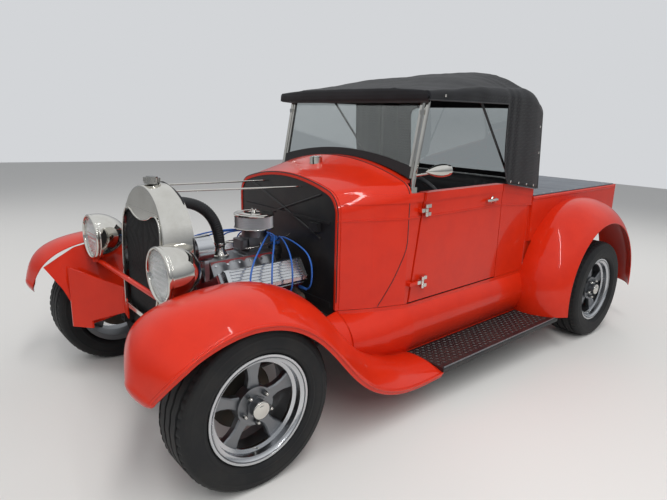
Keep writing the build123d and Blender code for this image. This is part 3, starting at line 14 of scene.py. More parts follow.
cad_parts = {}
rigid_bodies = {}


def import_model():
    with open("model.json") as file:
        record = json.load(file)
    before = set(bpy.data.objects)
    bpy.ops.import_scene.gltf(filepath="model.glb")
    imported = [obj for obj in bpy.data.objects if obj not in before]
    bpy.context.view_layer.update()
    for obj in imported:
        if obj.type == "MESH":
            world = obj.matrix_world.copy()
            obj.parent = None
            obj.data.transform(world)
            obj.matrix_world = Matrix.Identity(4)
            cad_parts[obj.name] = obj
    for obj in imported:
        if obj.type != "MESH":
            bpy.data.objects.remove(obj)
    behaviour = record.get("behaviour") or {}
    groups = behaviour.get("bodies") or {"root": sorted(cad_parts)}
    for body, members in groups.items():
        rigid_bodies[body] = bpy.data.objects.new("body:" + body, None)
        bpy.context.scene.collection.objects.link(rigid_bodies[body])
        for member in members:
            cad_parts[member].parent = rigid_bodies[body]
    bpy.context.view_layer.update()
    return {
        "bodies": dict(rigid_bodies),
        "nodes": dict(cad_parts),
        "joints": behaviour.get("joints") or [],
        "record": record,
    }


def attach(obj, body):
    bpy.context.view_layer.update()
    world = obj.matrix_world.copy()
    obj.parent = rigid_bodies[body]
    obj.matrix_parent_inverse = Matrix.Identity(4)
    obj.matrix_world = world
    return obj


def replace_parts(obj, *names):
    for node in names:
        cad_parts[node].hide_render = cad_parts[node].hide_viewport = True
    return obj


LOG = logging.getLogger("hot_rod")
MM = 0.001

# Body points are in millimetres: X to the left, Y back from the front axle's line, Z up from the ground.
RAKE = math.radians(1.5)
ORIGIN_BACK = 1439.0
WHEELBASE = 2629.0

# The windscreen's lean and the foot of its middle plane; the radiator shell's lean and the foot of its face.
SCREEN_LEAN = math.radians(10.9)
SCREEN_FOOT = (1042.0, 1000.0)
SHELL_LEAN = math.radians(4.0)
SHELL_FOOT = 455.0

# Points nearer than this, in metres, are one.
MERGE_WITHIN = 2e-6

# A wave texture of scale one repeats after this length in metres.
WAVE_REPEAT = 0.314

# Share of Z that carries the cloth's threads down its steep sides.
THREAD_FALL = 0.8

# The mix node's colour sockets by number, because their names stand for other kinds of data too.
MIX_FROM, MIX_TO, MIX_RESULT = 6, 7, 2


def tipped(points: np.ndarray) -> np.ndarray:
    """Bring body points to the shared frame: turned nose down by the rake, then moved back.

    Args:
        points: Body points in millimetres, in the last axis.

    Returns:
        The points in metres.
    """
    x, y, z = np.moveaxis(np.asarray(points, dtype=float), -1, 0)
    back = y * math.cos(RAKE) - z * math.sin(RAKE) - ORIGIN_BACK
    up = y * math.sin(RAKE) + z * math.cos(RAKE)
    return np.stack((x, back, up), axis=-1) * MM


def squared(points: np.ndarray) -> np.ndarray:
    """Bring running-gear points, drawn square to the ground, to the shared frame in metres."""
    return (np.asarray(points, dtype=float) - (0.0, ORIGIN_BACK, 0.0)) * MM


def mirrored(points: np.ndarray) -> np.ndarray:
    """Reflect points to the vehicle's other side."""
    return np.asarray(points, dtype=float) * (-1.0, 1.0, 1.0)


def both_sides(outline: np.ndarray) -> np.ndarray:
    """Carry an outline that ends on the middle on along its mirror image.

    Args:
        outline: X and height of its points, the last one at X zero.

    Returns:
        The points of both halves, the middle one once.
    """
    return np.vstack([outline, (outline[::-1] * (-1, 1))[1:]])


def capped(rings: np.ndarray) -> np.ndarray:
    """Close a run of rings on the middle of its first and of its last ring.

    Args:
        rings: Points by ring and corner.

    Returns:
        The rings with one more at each end, all of its corners on the middle.
    """
    ends = [np.broadcast_to(rings[i].mean(axis=0), rings[:1].shape) for i in (0, -1)]
    return np.concatenate([ends[0], rings, ends[1]])


def flow(points: Any, steps: int = 12) -> np.ndarray:
    """Sample a quadratic B-spline: each inner point bends the line between its neighbours' middles.

    Args:
        points: Control points, three or more.
        steps: Samples for each stretch.

    Returns:
        Points from the first control point to the last.
    """
    control = np.asarray(points, dtype=float)
    middles = (control[:-1] + control[1:]) / 2
    starts = np.vstack([control[:1], middles[1:-1]])
    ends = np.vstack([middles[1:-1], control[-1:]])
    t = np.linspace(0, 1, steps, endpoint=False)[None, :, None]
    curve = (1 - t) ** 2 * starts[:, None] + 2 * t * (1 - t) * control[1:-1, None] + t ** 2 * ends[:, None]
    return np.vstack([curve.reshape(-1, control.shape[1]), control[-1:]])


def smooth_rows(stations: np.ndarray, table: np.ndarray, width: float) -> np.ndarray:
    """Read a table's columns at stations, with its corners rounded by a moving average.

    Args:
        stations: Where to read, in the units of the table's first column.
        table: Rows of a station and its values, in order.
        width: Reach of the rounding, in the same units.

    Returns:
        One row of values for each station.
    """
    shifts = np.linspace(-width, width, 17)
    weights = np.cos(shifts / width * math.pi / 2) ** 2
    read = [np.interp(stations[:, None] + shifts, table[:, 0], column) @ weights for column in table[:, 1:].T]
    return np.stack(read, axis=-1) / weights.sum()


def linear(colour: str) -> tuple[float, float, float, float]:
    """Turn an sRGB hex colour into linear light.

    Args:
        colour: Six hex digits with a leading hash.

    Returns:
        Linear red, green and blue, with an alpha of one.
    """
    parts = [int(colour[i:i + 2], 16) / 255 for i in (1, 3, 5)]
    lit = [c / 12.92 if c <= 0.04045 else ((c + 0.055) / 1.055) ** 2.4 for c in parts]
    return (lit[0], lit[1], lit[2], 1.0)


def add(tree: bpy.types.NodeTree, kind: str, inputs: dict[Any, Any] | None = None,
        **settings: Any) -> bpy.types.Node:
    """Add one node with its settings, values and links.

    Args:
        tree: Tree that takes the node.
        kind: Blender's name of the node type.
        inputs: Values or source sockets by input name or number.
        settings: Attributes of the node itself.

    Returns:
        The new node.
    """
    made = tree.nodes.new(kind)
    for name, value in settings.items():
        setattr(made, name, value)
    for name, value in (inputs or {}).items():
        if isinstance(value, bpy.types.NodeSocket):
            tree.links.new(value, made.inputs[name])
        else:
            made.inputs[name].default_value = value
    return made


class Relief(Enum):
    """Small relief that a finish shows."""

    NONE = "none"
    GRAIN = "grain"
    WEAVE = "weave"
    FINS = "fins"


@dataclass(frozen=True)
class Finish:
    """One surface finish, by what the real surface is.

    Args:
        name: Material and how its surface was made.
        colour: Base colour as sRGB hex.
        roughness: Typical roughness of that surface.
        metallic: One for bare metal.
        coat: Strength of a clear coat over it.
        relief: Kind of small relief.
        pitch: Size of one repeat of the relief in metres.
        depth: Depth of the relief in metres.
        soil: Second colour that dust or wear gives it.
        soil_share: How much of that colour shows.
        see_through: One for clear glass.
        sheen: Soft edge glow of cloth and leather.
        specular: Mirror strength of the layer under the coat.
        coat_roughness: Roughness of the clear coat.
    """

    name: str
    colour: str
    roughness: float
    metallic: float = 0.0
    coat: float = 0.0
    relief: Relief = Relief.NONE
    pitch: float = 0.002
    depth: float = 0.0002
    soil: str = ""
    soil_share: float = 0.0
    see_through: float = 0.0
    sheen: float = 0.0
    specular: float = 0.5
    coat_roughness: float = 0.04

    def build(self) -> bpy.types.Material:
        """Make the material.

        Returns:
            A node material under this finish's name.
        """
        material = bpy.data.materials.new(self.name)
        material.use_nodes = True
        tree = material.node_tree
        shader = tree.nodes["Principled BSDF"]
        shader.inputs["Base Color"].default_value = linear(self.colour)
        shader.inputs["Roughness"].default_value = self.roughness
        shader.inputs["Metallic"].default_value = self.metallic
        shader.inputs["Coat Weight"].default_value = self.coat
        shader.inputs["Coat Roughness"].default_value = self.coat_roughness
        shader.inputs["Transmission Weight"].default_value = self.see_through
        shader.inputs["Sheen Weight"].default_value = self.sheen
        shader.inputs["Specular IOR Level"].default_value = self.specular
        place = add(tree, "ShaderNodeTexCoord").outputs["Object"]
        if self.soil:
            self._soil(tree, shader, place)
        if self.relief is not Relief.NONE:
            height = self._height(tree, place)
            bump = add(tree, "ShaderNodeBump", {"Distance": self.depth, "Height": height, "Strength": 1.0})
            tree.links.new(bump.outputs["Normal"], shader.inputs["Normal"])
        return material

    def _soil(self, tree: bpy.types.NodeTree, shader: bpy.types.Node, place: bpy.types.NodeSocket) -> None:
        """Blend cloudy dust or wear over the base colour, about nine clouds to the metre.

        Args:
            tree: The material's nodes.
            shader: The shader that takes the colour.
            place: Object coordinates in metres.
        """
        noise = {"Vector": place, "Scale": 9.0, "Detail": 6.0, "Roughness": 0.62}
        cloud = add(tree, "ShaderNodeTexNoise", noise).outputs["Fac"]
        span = {"Value": cloud, "From Min": 0.42, "From Max": 0.72, "To Min": 0.0, "To Max": self.soil_share}
        share = add(tree, "ShaderNodeMapRange", span).outputs["Result"]
        blend = {"Factor": share, MIX_FROM: linear(self.colour), MIX_TO: linear(self.soil)}
        mixed = add(tree, "ShaderNodeMix", blend, data_type="RGBA")
        tree.links.new(mixed.outputs[MIX_RESULT], shader.inputs["Base Color"])

    def _height(self, tree: bpy.types.NodeTree, place: bpy.types.NodeSocket) -> bpy.types.NodeSocket:
        """Give the relief's height field.

        The weave is two sets of threads, sine waves along X and along Y, and a share of Z carries
        both down the steep faces.

        Args:
            tree: The material's nodes.
            place: Object coordinates in metres.

        Returns:
            A socket that is low in the hollows and high on the ridges.
        """
        if self.relief is Relief.GRAIN:
            noise = {"Vector": place, "Scale": 1 / self.pitch, "Detail": 3.0}
            return add(tree, "ShaderNodeTexNoise", noise).outputs["Fac"]
        if self.relief is Relief.FINS:
            wave = {"Vector": place, "Scale": WAVE_REPEAT / self.pitch}
            return add(tree, "ShaderNodeTexWave", wave, bands_direction="Z").outputs["Fac"]
        split = add(tree, "ShaderNodeSeparateXYZ", {"Vector": place})
        threads = []
        for axis in ("X", "Y"):
            lines = {0: split.outputs["Z"], 1: THREAD_FALL, 2: split.outputs[axis]}
            along = add(tree, "ShaderNodeMath", lines, operation="MULTIPLY_ADD").outputs[0]
            turn = add(tree, "ShaderNodeMath", {0: along, 1: math.tau / self.pitch}, operation="MULTIPLY")
            threads.append(add(tree, "ShaderNodeMath", {0: turn.outputs[0]}, operation="SINE").outputs[0])
        return add(tree, "ShaderNodeMath", dict(enumerate(threads)), operation="MAXIMUM").outputs[0]


FINISHES = {
    # Two-pack enamel, sprayed and polished: an orange-red with a clear wet gloss, darker in clouds.
    "paint_red": Finish("sprayed orange-red enamel", "#cc2a10", 0.3, coat=0.5, soil="#b51e0e",
                        soil_share=0.35, specular=0.1),
    # Engine enamel, brushed on: a duller, browner red with baked-on oil.
    "engine_red": Finish("brushed engine enamel", "#7c1c20", 0.38, coat=0.4, soil="#3a2018", soil_share=0.5),
    # Chassis paint: satin black under road dust.
    "frame_black": Finish("satin black chassis paint", "#191a1c", 0.42, soil="#3b3833", soil_share=0.35),
    # Chromium plate: nearly a mirror, a little warm, with hazy patches.
    "chrome": Finish("bright chromium plate", "#d3d1cb", 0.08, metallic=1.0, soil="#b4b0a7", soil_share=0.4),
    # Sand-cast aluminium: grey, with a blurred gloss and the sand's grain of 1.5 mm.
    "cast_alloy": Finish("sand-cast aluminium", "#86888b", 0.45, metallic=1.0, relief=Relief.GRAIN,
                         pitch=0.0015),
    # Aluminium buffed on a wheel: bright, with soft reflections.
    "polished_alloy": Finish("buffed aluminium", "#c6c8cb", 0.2, metallic=1.0),
    # Bare cast iron: dark, rough and browned by heat.
    "iron": Finish("bare cast iron", "#4a4640", 0.62, metallic=0.7, relief=Relief.GRAIN, pitch=0.002,
                   soil="#6b4a34", soil_share=0.4),
    # Tyre rubber: near black and matt, with pale dust. The tread is in the mesh.
    "rubber": Finish("moulded tyre rubber", "#141517", 0.62, soil="#2e2c29", soil_share=0.4, specular=0.35),
    # Ribbed hose: black with a dull shine. The ribs are in the mesh.
    "hose_black": Finish("ribbed rubber hose", "#1c1d1f", 0.55),
    # Radiator fins: black paint, broken up by a 6 mm grain that stands for bent fins.
    "core_black": Finish("black radiator fins", "#0d0e10", 0.6, relief=Relief.GRAIN, pitch=0.006,
                         depth=0.0006),
    # Top cloth: matt black. Its threads are drawn 14 mm apart, far coarser than real ones, so that they show.
    "top_fabric": Finish("woven top cloth", "#101114", 0.82, relief=Relief.WEAVE, pitch=0.014, depth=0.0005,
                         sheen=0.12, soil="#1d1e22", soil_share=0.6, specular=0.3),
    # Seat vinyl: black, with a leather grain of 1.5 mm and a faint glow at its edges.
    "vinyl": Finish("grained black vinyl", "#202124", 0.5, relief=Relief.GRAIN, pitch=0.0015, sheen=0.1),
    # Tread plate: black paint between the bars, with trodden-in dust.
    "tread_black": Finish("black tread plate", "#17181a", 0.45, relief=Relief.GRAIN, pitch=0.004,
                          depth=0.0003, soil="#3b3834", soil_share=0.5),
    # Laminated glass: clear, with a breath of green.
    "glass": Finish("laminated screen glass", "#eef4f2", 0.02, see_through=1.0),
    # Pressed lamp glass: clear, with shallow bands 20 mm apart across it.
    "lens": Finish("pressed lamp glass", "#f4f7f8", 0.06, see_through=0.8, relief=Relief.FINS, pitch=0.02,
                   depth=0.001),
    # Tail lamp plastic: deep red under a clear skin.
    "lamp_red": Finish("moulded red lens", "#9c1512", 0.15, coat=0.6),
    # Silicone leads: bright blue with a soft shine.
    "lead_blue": Finish("blue silicone lead", "#2c5fb0", 0.4),
    # Gloss black, here on the dials' faces.
    "wheel_black": Finish("gloss black rim", "#151618", 0.25, coat=0.3),
    # Bindings and welts: folded cloth, matt black, its 1.2 mm grain just seen.
    "binding": Finish("folded cloth binding", "#141518", 0.8, relief=Relief.GRAIN, pitch=0.0012, sheen=0.2),
    # Bed cover: grey vinyl from the rolls; its blue tint is a painted reflection of the sky, and it is paler
    # in clouds.
    "cover_vinyl": Finish("calendered cover vinyl", "#39414d", 0.46, relief=Relief.GRAIN, pitch=0.002,
                          sheen=0.2, soil="#56606c", soil_share=0.4),
    # Strip along the boards: rolled aluminium, scuffed dull.
    "tread_edge": Finish("rolled aluminium strip", "#8d8f92", 0.38, metallic=1.0),
    # Air cleaner's screen: bright wire. The pleats are in the mesh.
    "filter_mesh": Finish("bright filter screen", "#c4c6c8", 0.32, metallic=0.8),
    # Crests of the tread bars: paint worn through to grey metal.
    "tread_crest": Finish("scuffed tread crest", "#6b6a68", 0.4, metallic=0.5, soil="#1d1d1e",
                          soil_share=0.6),
    # Ticks and pointers: printed matt off-white.
    "dial_white": Finish("printed dial white", "#e6e4dc", 0.6),
    # Carpet: matt black pile, its tufts drawn 4 mm across.
    "carpet": Finish("cut-pile carpet", "#18181a", 0.95, relief=Relief.GRAIN, pitch=0.004, depth=0.001,
                     sheen=0.3),
    # Belt and screen seal: plain matt rubber.
    "belt_rubber": Finish("moulded belt rubber", "#1a1b1c", 0.65),
    # Lead boots: the leads' blue, darker and duller.
    "boot_rubber": Finish("moulded lead boot", "#274f8e", 0.5),
}


MADE: dict[str, bpy.types.Material] = {}


def material(finish: str) -> bpy.types.Material:
    """Give a finish's material, made once.

    Args:
        finish: Name in FINISHES.

    Returns:
        The material.
    """
    if finish not in MADE:
        MADE[finish] = FINISHES[finish].build()
    return MADE[finish]


class Sheaf:
    """Surfaces gathered into one mesh."""

    def __init__(self) -> None:
        """Start with nothing."""
        self.points: list[np.ndarray] = []
        self.faces: list[np.ndarray] = []
        self.count = 0

    def grid(self, rows: np.ndarray, ring: bool = False) -> "Sheaf":
        """Add a grid of points as four-sided faces.

        Args:
            rows: Points by row and column.
            ring: Joins each row's last point to its first.

        Returns:
            This sheaf.
        """
        high, wide = rows.shape[:2]
        number = np.arange(high * wide).reshape(high, wide) + self.count
        if ring:
            number = np.hstack([number, number[:, :1]])
        quads = np.stack([number[:-1, :-1], number[:-1, 1:], number[1:, 1:], number[1:, :-1]], axis=-1)
        self.points.append(rows.reshape(-1, 3))
        self.faces.append(quads.reshape(-1, 4))
        self.count += high * wide
        return self

    def lathe(self, outline: Any, at: Any, axis: Any, sides: int = 48) -> "Sheaf":
        """Add an outline of (distance along the axis, radius) turned about the axis.

        Args:
            outline: The outline's points, closed by its ends or by radii of zero.
            at: Where the axis starts.
            axis: Which way it points.
            sides: Facets round it.

        Returns:
            This sheaf.
        """
        outline = np.asarray(outline, dtype=float)
        way = np.asarray(axis, dtype=float) / np.linalg.norm(axis)
        side = np.cross(way, (0.0, 0.0, 1.0) if abs(way[2]) < 0.9 else (1.0, 0.0, 0.0))
        side /= np.linalg.norm(side)
        turn = np.linspace(0, math.tau, sides, endpoint=False)
        spoke = np.cos(turn)[:, None] * side + np.sin(turn)[:, None] * np.cross(way, side)
        rows = np.asarray(at) + outline[:, :1, None] * way + outline[:, 1:, None] * spoke
        return self.grid(rows, ring=True)

    def tube(self, path: Any, radius: Any, sides: int = 12, flat: float = 1.0) -> "Sheaf":
        """Add a round bar along a path, closed at its ends.

        Args:
            path: Points along its middle.
            radius: One radius, or one for each point.
            sides: Facets round it.
            flat: Share of its width that its thickness keeps.

        Returns:
            This sheaf.
        """
        path = np.asarray(path, dtype=float)
        way = np.gradient(path, axis=0)
        way /= np.linalg.norm(way, axis=1)[:, None]
        reference = np.eye(3)[np.argmin(np.abs(way).max(axis=0))]
        side = np.cross(way, reference)
        side /= np.linalg.norm(side, axis=1)[:, None]
        over = np.cross(way, side) * flat
        turn = np.linspace(0, math.tau, sides, endpoint=False)[:, None]
        reach = np.broadcast_to(np.asarray(radius, dtype=float), len(path))[:, None, None]
        rows = path[:, None] + reach * (np.cos(turn) * side[:, None] + np.sin(turn) * over[:, None])
        first, last = (np.broadcast_to(path[i], rows[:1].shape) for i in (0, -1))
        return self.grid(np.concatenate([first, rows, last]), ring=True)

    def stamped(self, shape: np.ndarray, faces: np.ndarray, places: np.ndarray, turns: np.ndarray) -> "Sheaf":
        """Add one small shape many times.

        Args:
            shape: The shape's points.
            faces: Its four-sided faces.
            places: One place for each copy.
            turns: One 3 by 3 turn for each copy.

        Returns:
            This sheaf.
        """
        copies = np.einsum("nij,pj->npi", turns, shape) + places[:, None]
        number = faces[None] + (np.arange(len(places)) * len(shape))[:, None, None] + self.count
        self.points.append(copies.reshape(-1, 3))
        self.faces.append(number.reshape(-1, faces.shape[1]))
        self.count += copies.shape[0] * copies.shape[1]
        return self

    def tip(self, side: int = 1) -> "Sheaf":
        """Carry the gathered body points to the shared frame, reflected first where side is -1."""
        self.points = [tipped(block * (side, 1, 1)) for block in self.points]
        return self

    def build(self, name: str, slot: str, finish: str = "", sharp: float = 38.0,
              body: str = "chassis") -> bpy.types.Object:
        """Make the piece, with its doubles merged and its faces turned outwards.

        Args:
            name: The piece's name.
            slot: The record's material slot.
            finish: Name in FINISHES, where it isn't the slot's own.
            sharp: Angle in degrees from which an edge stays sharp.
            body: CAD body that it rides on.

        Returns:
            The new object.
        """
        mesh = bpy.data.meshes.new(name)
        mesh.from_pydata(np.vstack(self.points).tolist(), [], np.vstack(self.faces).tolist())
        work = bmesh.new()
        work.from_mesh(mesh)
        bmesh.ops.remove_doubles(work, verts=work.verts, dist=MERGE_WITHIN)
        bmesh.ops.recalc_face_normals(work, faces=work.faces)
        work.to_mesh(mesh)
        work.free()
        mesh.polygons.foreach_set("use_smooth", [True] * len(mesh.polygons))
        mesh.set_sharp_from_angle(angle=math.radians(sharp))
        piece = bpy.data.objects.new(name, mesh)
        bpy.context.collection.objects.link(piece)
        mesh.materials.append(material(finish or slot))
        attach(piece, body)
        LOG.info("%s: %d faces", name, len(mesh.polygons))
        return piece


def thicken(piece: bpy.types.Object, name: str, thickness: float, offset: float) -> None:
    """Give a sheet its wall.

    Args:
        piece: The sheet.
        name: What the wall is made of.
        thickness: The wall in metres.
        offset: Minus one for a wall behind the sheet, one for a wall before it, zero for half on each side.
    """
    wall = piece.modifiers.new(name, "SOLIDIFY")
    wall.thickness = thickness
    wall.offset = offset


def turns_to(normals: np.ndarray) -> np.ndarray:
    """Turn matrices that lay a shape's Z axis along each normal.

    Args:
        normals: One direction for each copy.

    Returns:
        One 3 by 3 matrix for each copy.
    """
    out = np.asarray(normals, dtype=float)
    out = out / np.linalg.norm(out, axis=1)[:, None]
    aside = np.cross(out, np.where(np.abs(out[:, 2:]) < 0.9, (0.0, 0.0, 1.0), (1.0, 0.0, 0.0)))
    aside /= np.linalg.norm(aside, axis=1)[:, None]
    return np.stack([aside, np.cross(out, aside), out], axis=-1)


def hex_head(radius: float, height: float) -> tuple[np.ndarray, np.ndarray]:
    """Points and faces of a six-sided bolt head with a bevelled top, its foot at zero.

    Args:
        radius: Across the corners, halved.
        height: Of the head.

    Returns:
        Points and four-sided faces; the top closes on its middle.
    """
    turn = np.linspace(0, math.tau, 6, endpoint=False)
    ring = np.stack([np.cos(turn), np.sin(turn)], axis=-1)
    levels = [(1.0, 0.0), (1.0, 0.75), (0.86, 1.0), (0.0, 1.0)]
    points = [np.column_stack([ring * radius * share, np.full(6, height * lift)]) for share, lift in levels]
    number = np.arange(24).reshape(4, 6)
    number = np.hstack([number, number[:, :1]])
    quads = np.stack([number[:-1, :-1], number[:-1, 1:], number[1:, 1:], number[1:, :-1]], axis=-1)
    return np.vstack(points), quads.reshape(-1, 4)


@dataclass
class Body:
    """The CAD nodes, each dressed in the finish of its slot."""

    frame: dict[str, Any]

    def build(self) -> None:
        """Give every CAD node its finish."""
        for row in self.frame["record"]["subparts"]:
            piece = self.frame["nodes"][row["node"]]
            piece.data.materials.clear()
            piece.data.materials.append(material(row["material_slot"]))
        LOG.info("dressed %d nodes", len(self.frame["nodes"]))


@dataclass
class RoadWheel:
    """One tyre with its tread, and the bright parts of its cast wheel.

    Args:
        side: "left" or "right".
        end: "front" or "rear".
        axle_y: The axle's station.
        radius: Of the tyre's crown.
        tyre_width: Across the sidewalls.
        rim_width: From the inner to the outer lip.
        lip_x: The outer lip's face.
        rim_radius: Of the lips.
        bead_radius: Of the bead seats.
        lip_thickness: Of each lip.
        seat: Gap between tyre and casting.
        grooves: Middles of the tread's grooves, as shares of half the tyre's width.
        sides: Facets round the tyre.
        face_depth: From the lip's face back to the spokes' face.
        lugs: Number of lugs.
        lug_circle: Radius of the circle that they stand on.
    """

    side: str
    end: str
    axle_y: float
    radius: float
    tyre_width: float
    rim_width: float
    lip_x: float
    rim_radius: float = 208.0
    bead_radius: float = 190.0
    lip_thickness: float = 11.0
    seat: float = 0.3
    grooves: tuple[float, ...] = (0.62, 0.2, -0.2, -0.62)
    sides: int = 240
    face_depth: float = 38.0
    lugs: int = 5
    lug_circle: float = 57.0

    def build(self) -> None:
        """Build the tyre, the polished lip, the lug domes, the cap and the valve."""
        self._tyre()
        self._lip()
        self._centre()

    def _body(self) -> str:
        """Name of the CAD body that this wheel turns with."""
        return f"wheel_{self.end}_{self.side}"

    def _place(self, points: np.ndarray) -> np.ndarray:
        """Carry points about the wheel's own centre to its axle on this side."""
        placed = np.asarray(points, dtype=float) + (0.0, self.axle_y, self.radius)
        return squared(placed if self.side == "left" else mirrored(placed))

    def _ring(self, across: np.ndarray, reach: np.ndarray) -> np.ndarray:
        """Turn profile rows about the wheel's axis.

        Args:
            across: X of each profile row at each angle.
            reach: Radius of each profile row at each angle.

        Returns:
            A grid of points about the wheel's centre.
        """
        turn = np.linspace(0, math.tau, self.sides, endpoint=False)
        return np.stack([across, reach * np.sin(turn), reach * np.cos(turn)], axis=-1)

    def _tyre(self) -> None:
        """Tyre: bulged sidewalls with moulded ribs, notched shoulders and four zigzag grooves."""
        half, middle = self.tyre_width / 2, self.lip_x - self.rim_width / 2
        bead = self.rim_width / 2 - self.lip_thickness - self.seat
        wall = flow([
            (bead, self.bead_radius + self.seat), (bead, self.rim_radius + 4),
            (half * 0.95, self.rim_radius + 8), (half * 1.0, self.radius - 74),
            (half * 1.002, self.radius - 52), (half * 0.985, self.radius - 28),
            (half * 0.93, self.radius - 12), (half * 0.8, self.radius - 5.5),
        ], 7)
        rib = (np.abs(wall[:, 1] - self.rim_radius - 21) < 4) * 1.6
        wall[:, 0] += rib + (np.abs(wall[:, 1] - self.radius + 38) < 2.5) * 1.2
        crown = []
        for groove in self.grooves:
            at, drop = half * groove, 1.5 * abs(groove)
            crown += [(at + 6, drop), (at + 4, drop + 7.5), (at - 4, drop + 7.5), (at - 6, drop)]
        tread = np.array([(x, self.radius - down) for x, down in crown])
        profile = np.vstack([wall, tread, wall[::-1] * (-1, 1), wall[:1]])
        across = np.repeat(profile[:, :1], self.sides, axis=1)
        reach = np.repeat(profile[:, 1:], self.sides, axis=1)
        steps = np.arange(self.sides)
        notch = steps % 4 == 0
        first, last = len(wall), len(wall) + len(tread)
        across[first:last] += np.abs((steps % 8) - 4) * 1.1 - 2.2
        for row in (first - 1, first, last - 1, last):
            reach[row] -= notch * 4.0
        for row in (first - 8, first - 9, last + 7, last + 8):
            across[row] -= np.sign(across[row]) * notch * 1.6
        tyre = Sheaf().grid(self._place(self._ring(across + middle, reach)), ring=True)
        name = f"tyre_{self.end}_{self.side}"
        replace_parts(tyre.build(f"{name}_tread", "rubber", sharp=28, body=self._body()), name)

    def _lip(self) -> None:
        """Polished outer lip and the step behind it, a thin skin on the casting."""
        face = [(-11, 208.2), (-1.5, 208.7), (0.6, 207.0), (0.7, 199.5), (-7.4, 193.4), (-11.5, 182.2),
                (-33.6, 179.2), (-39.6, 166.2), (-52.0, 166.4)]
        back = [(x - 0.5, r + 0.9) for x, r in reversed(face[1:])]
        rows = np.array(face + back + face[:1]) + (self.lip_x, 0)
        ring = self._ring(*(np.repeat(rows[:, i:i + 1], self.sides, axis=1) for i in (0, 1)))
        lip = Sheaf().grid(self._place(ring), ring=True)
        lip.build(f"rim_lip_{self.end}_{self.side}", "polished_alloy", body=self._body())

    def _centre(self) -> None:
        """Chrome lug domes, the domed centre cap and the valve."""
        front = self.lip_x - self.face_depth
        dome = [(15, 0), (15, 8.6), (22, 8.0), (27, 5.6), (29.5, 2.6), (30, 0)]
        cap = [(36, 0), (36, 34.2), (39, 34.6), (42, 33.0), (43.5, 27.0), (42.6, 24.0), (44.5, 20.0),
               (46.4, 10.0), (47, 0)]
        sheaf = Sheaf()
        for turn in np.arange(self.lugs) * math.tau / self.lugs + math.pi / self.lugs:
            at = (front, -self.lug_circle * math.sin(turn), self.lug_circle * math.cos(turn))
            sheaf.lathe(dome, at, (1, 0, 0), 16)
        sheaf.lathe(cap, (front, 0, 0), (1, 0, 0), 48)
        sheaf.tube([(self.lip_x - 40, 0, -172), (self.lip_x - 16, 0, -160)], 3.4, 10)
        sheaf.points = [self._place(block) for block in sheaf.points]
        sheaf.build(f"wheel_brightwork_{self.end}_{self.side}", "chrome", sharp=50, body=self._body())


@dataclass
class Headlamps:
    """Plated bowls with silvered reflectors, bulbs and fluted lenses."""

    at: tuple[float, float, float] = (392.0, -183.0, 752.0)
    radius: float = 108.0
    rim_width: float = 10.4
    depth: float = 165.0
    flute: float = 9.0

    def build(self) -> None:
        """Build both lamps."""
        r, inner = self.radius, self.radius - self.rim_width
        arc = flow([(22, r), (70, r * 1.02), (self.depth * 0.86, r * 0.66), (self.depth, 30),
                    (self.depth, 0)], 14)
        depth = np.linspace(14, 82, 18)
        mirror = np.column_stack([depth, inner * np.sqrt(1 - (depth - 14) / 68)])
        rim = [(14, r - 10.2), (2, r - 10.2), (0, r - 8), (0.5, r - 4), (4, r - 0.6), (9, r + 0.6), (14, r),
               (16, r - 1.6), (18, r - 1.6), (20, r)]
        bulb = [(30, 0), (31, 9), (38, 13), (50, 10), (60, 8), (76, 8), (76, 0)]
        bowls, lenses, bulbs = Sheaf(), Sheaf(), Sheaf()
        for side in (1, -1):
            at = np.array(self.at) * (side, 1, 1)
            bowls.lathe(np.vstack([mirror[::-1], rim, arc]), at, (0, 1, 0), 72)
            bulbs.lathe(bulb, at, (0, 1, 0), 20)
            lenses.grid(self._lens(at), ring=True)
        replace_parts(bowls.tip().build("headlamp_bowls", "chrome", sharp=60), "headlamps")
        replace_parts(lenses.tip().build("headlamp_glasses", "lens", sharp=60), "headlamp_lenses")
        bulbs.tip().build("headlamp_bulbs", "polished_alloy", sharp=60)

    def _lens(self, at: np.ndarray) -> np.ndarray:
        """Lens surface: a shallow dome in front and upright flutes behind, each a rounded ridge.

        Args:
            at: The lamp's front centre.

        Returns:
            A grid that runs over the front to the rim and back behind it.
        """
        turn = np.linspace(0, math.tau, 144, endpoint=False)
        edge = self.radius - self.rim_width
        reach = np.linspace(0, edge, 30)[:, None] * np.ones_like(turn)
        x, z = reach * np.cos(turn), reach * np.sin(turn)
        front = 5.9 + 5.6 * (reach / edge) ** 2
        rear = 15.4 - 2.2 * np.abs(np.sin(x * math.pi / self.flute))
        face = np.stack([x, front, z], axis=-1)
        behind = np.stack([x, rear, z], axis=-1)[::-1]
        return np.vstack([face, behind]) + at


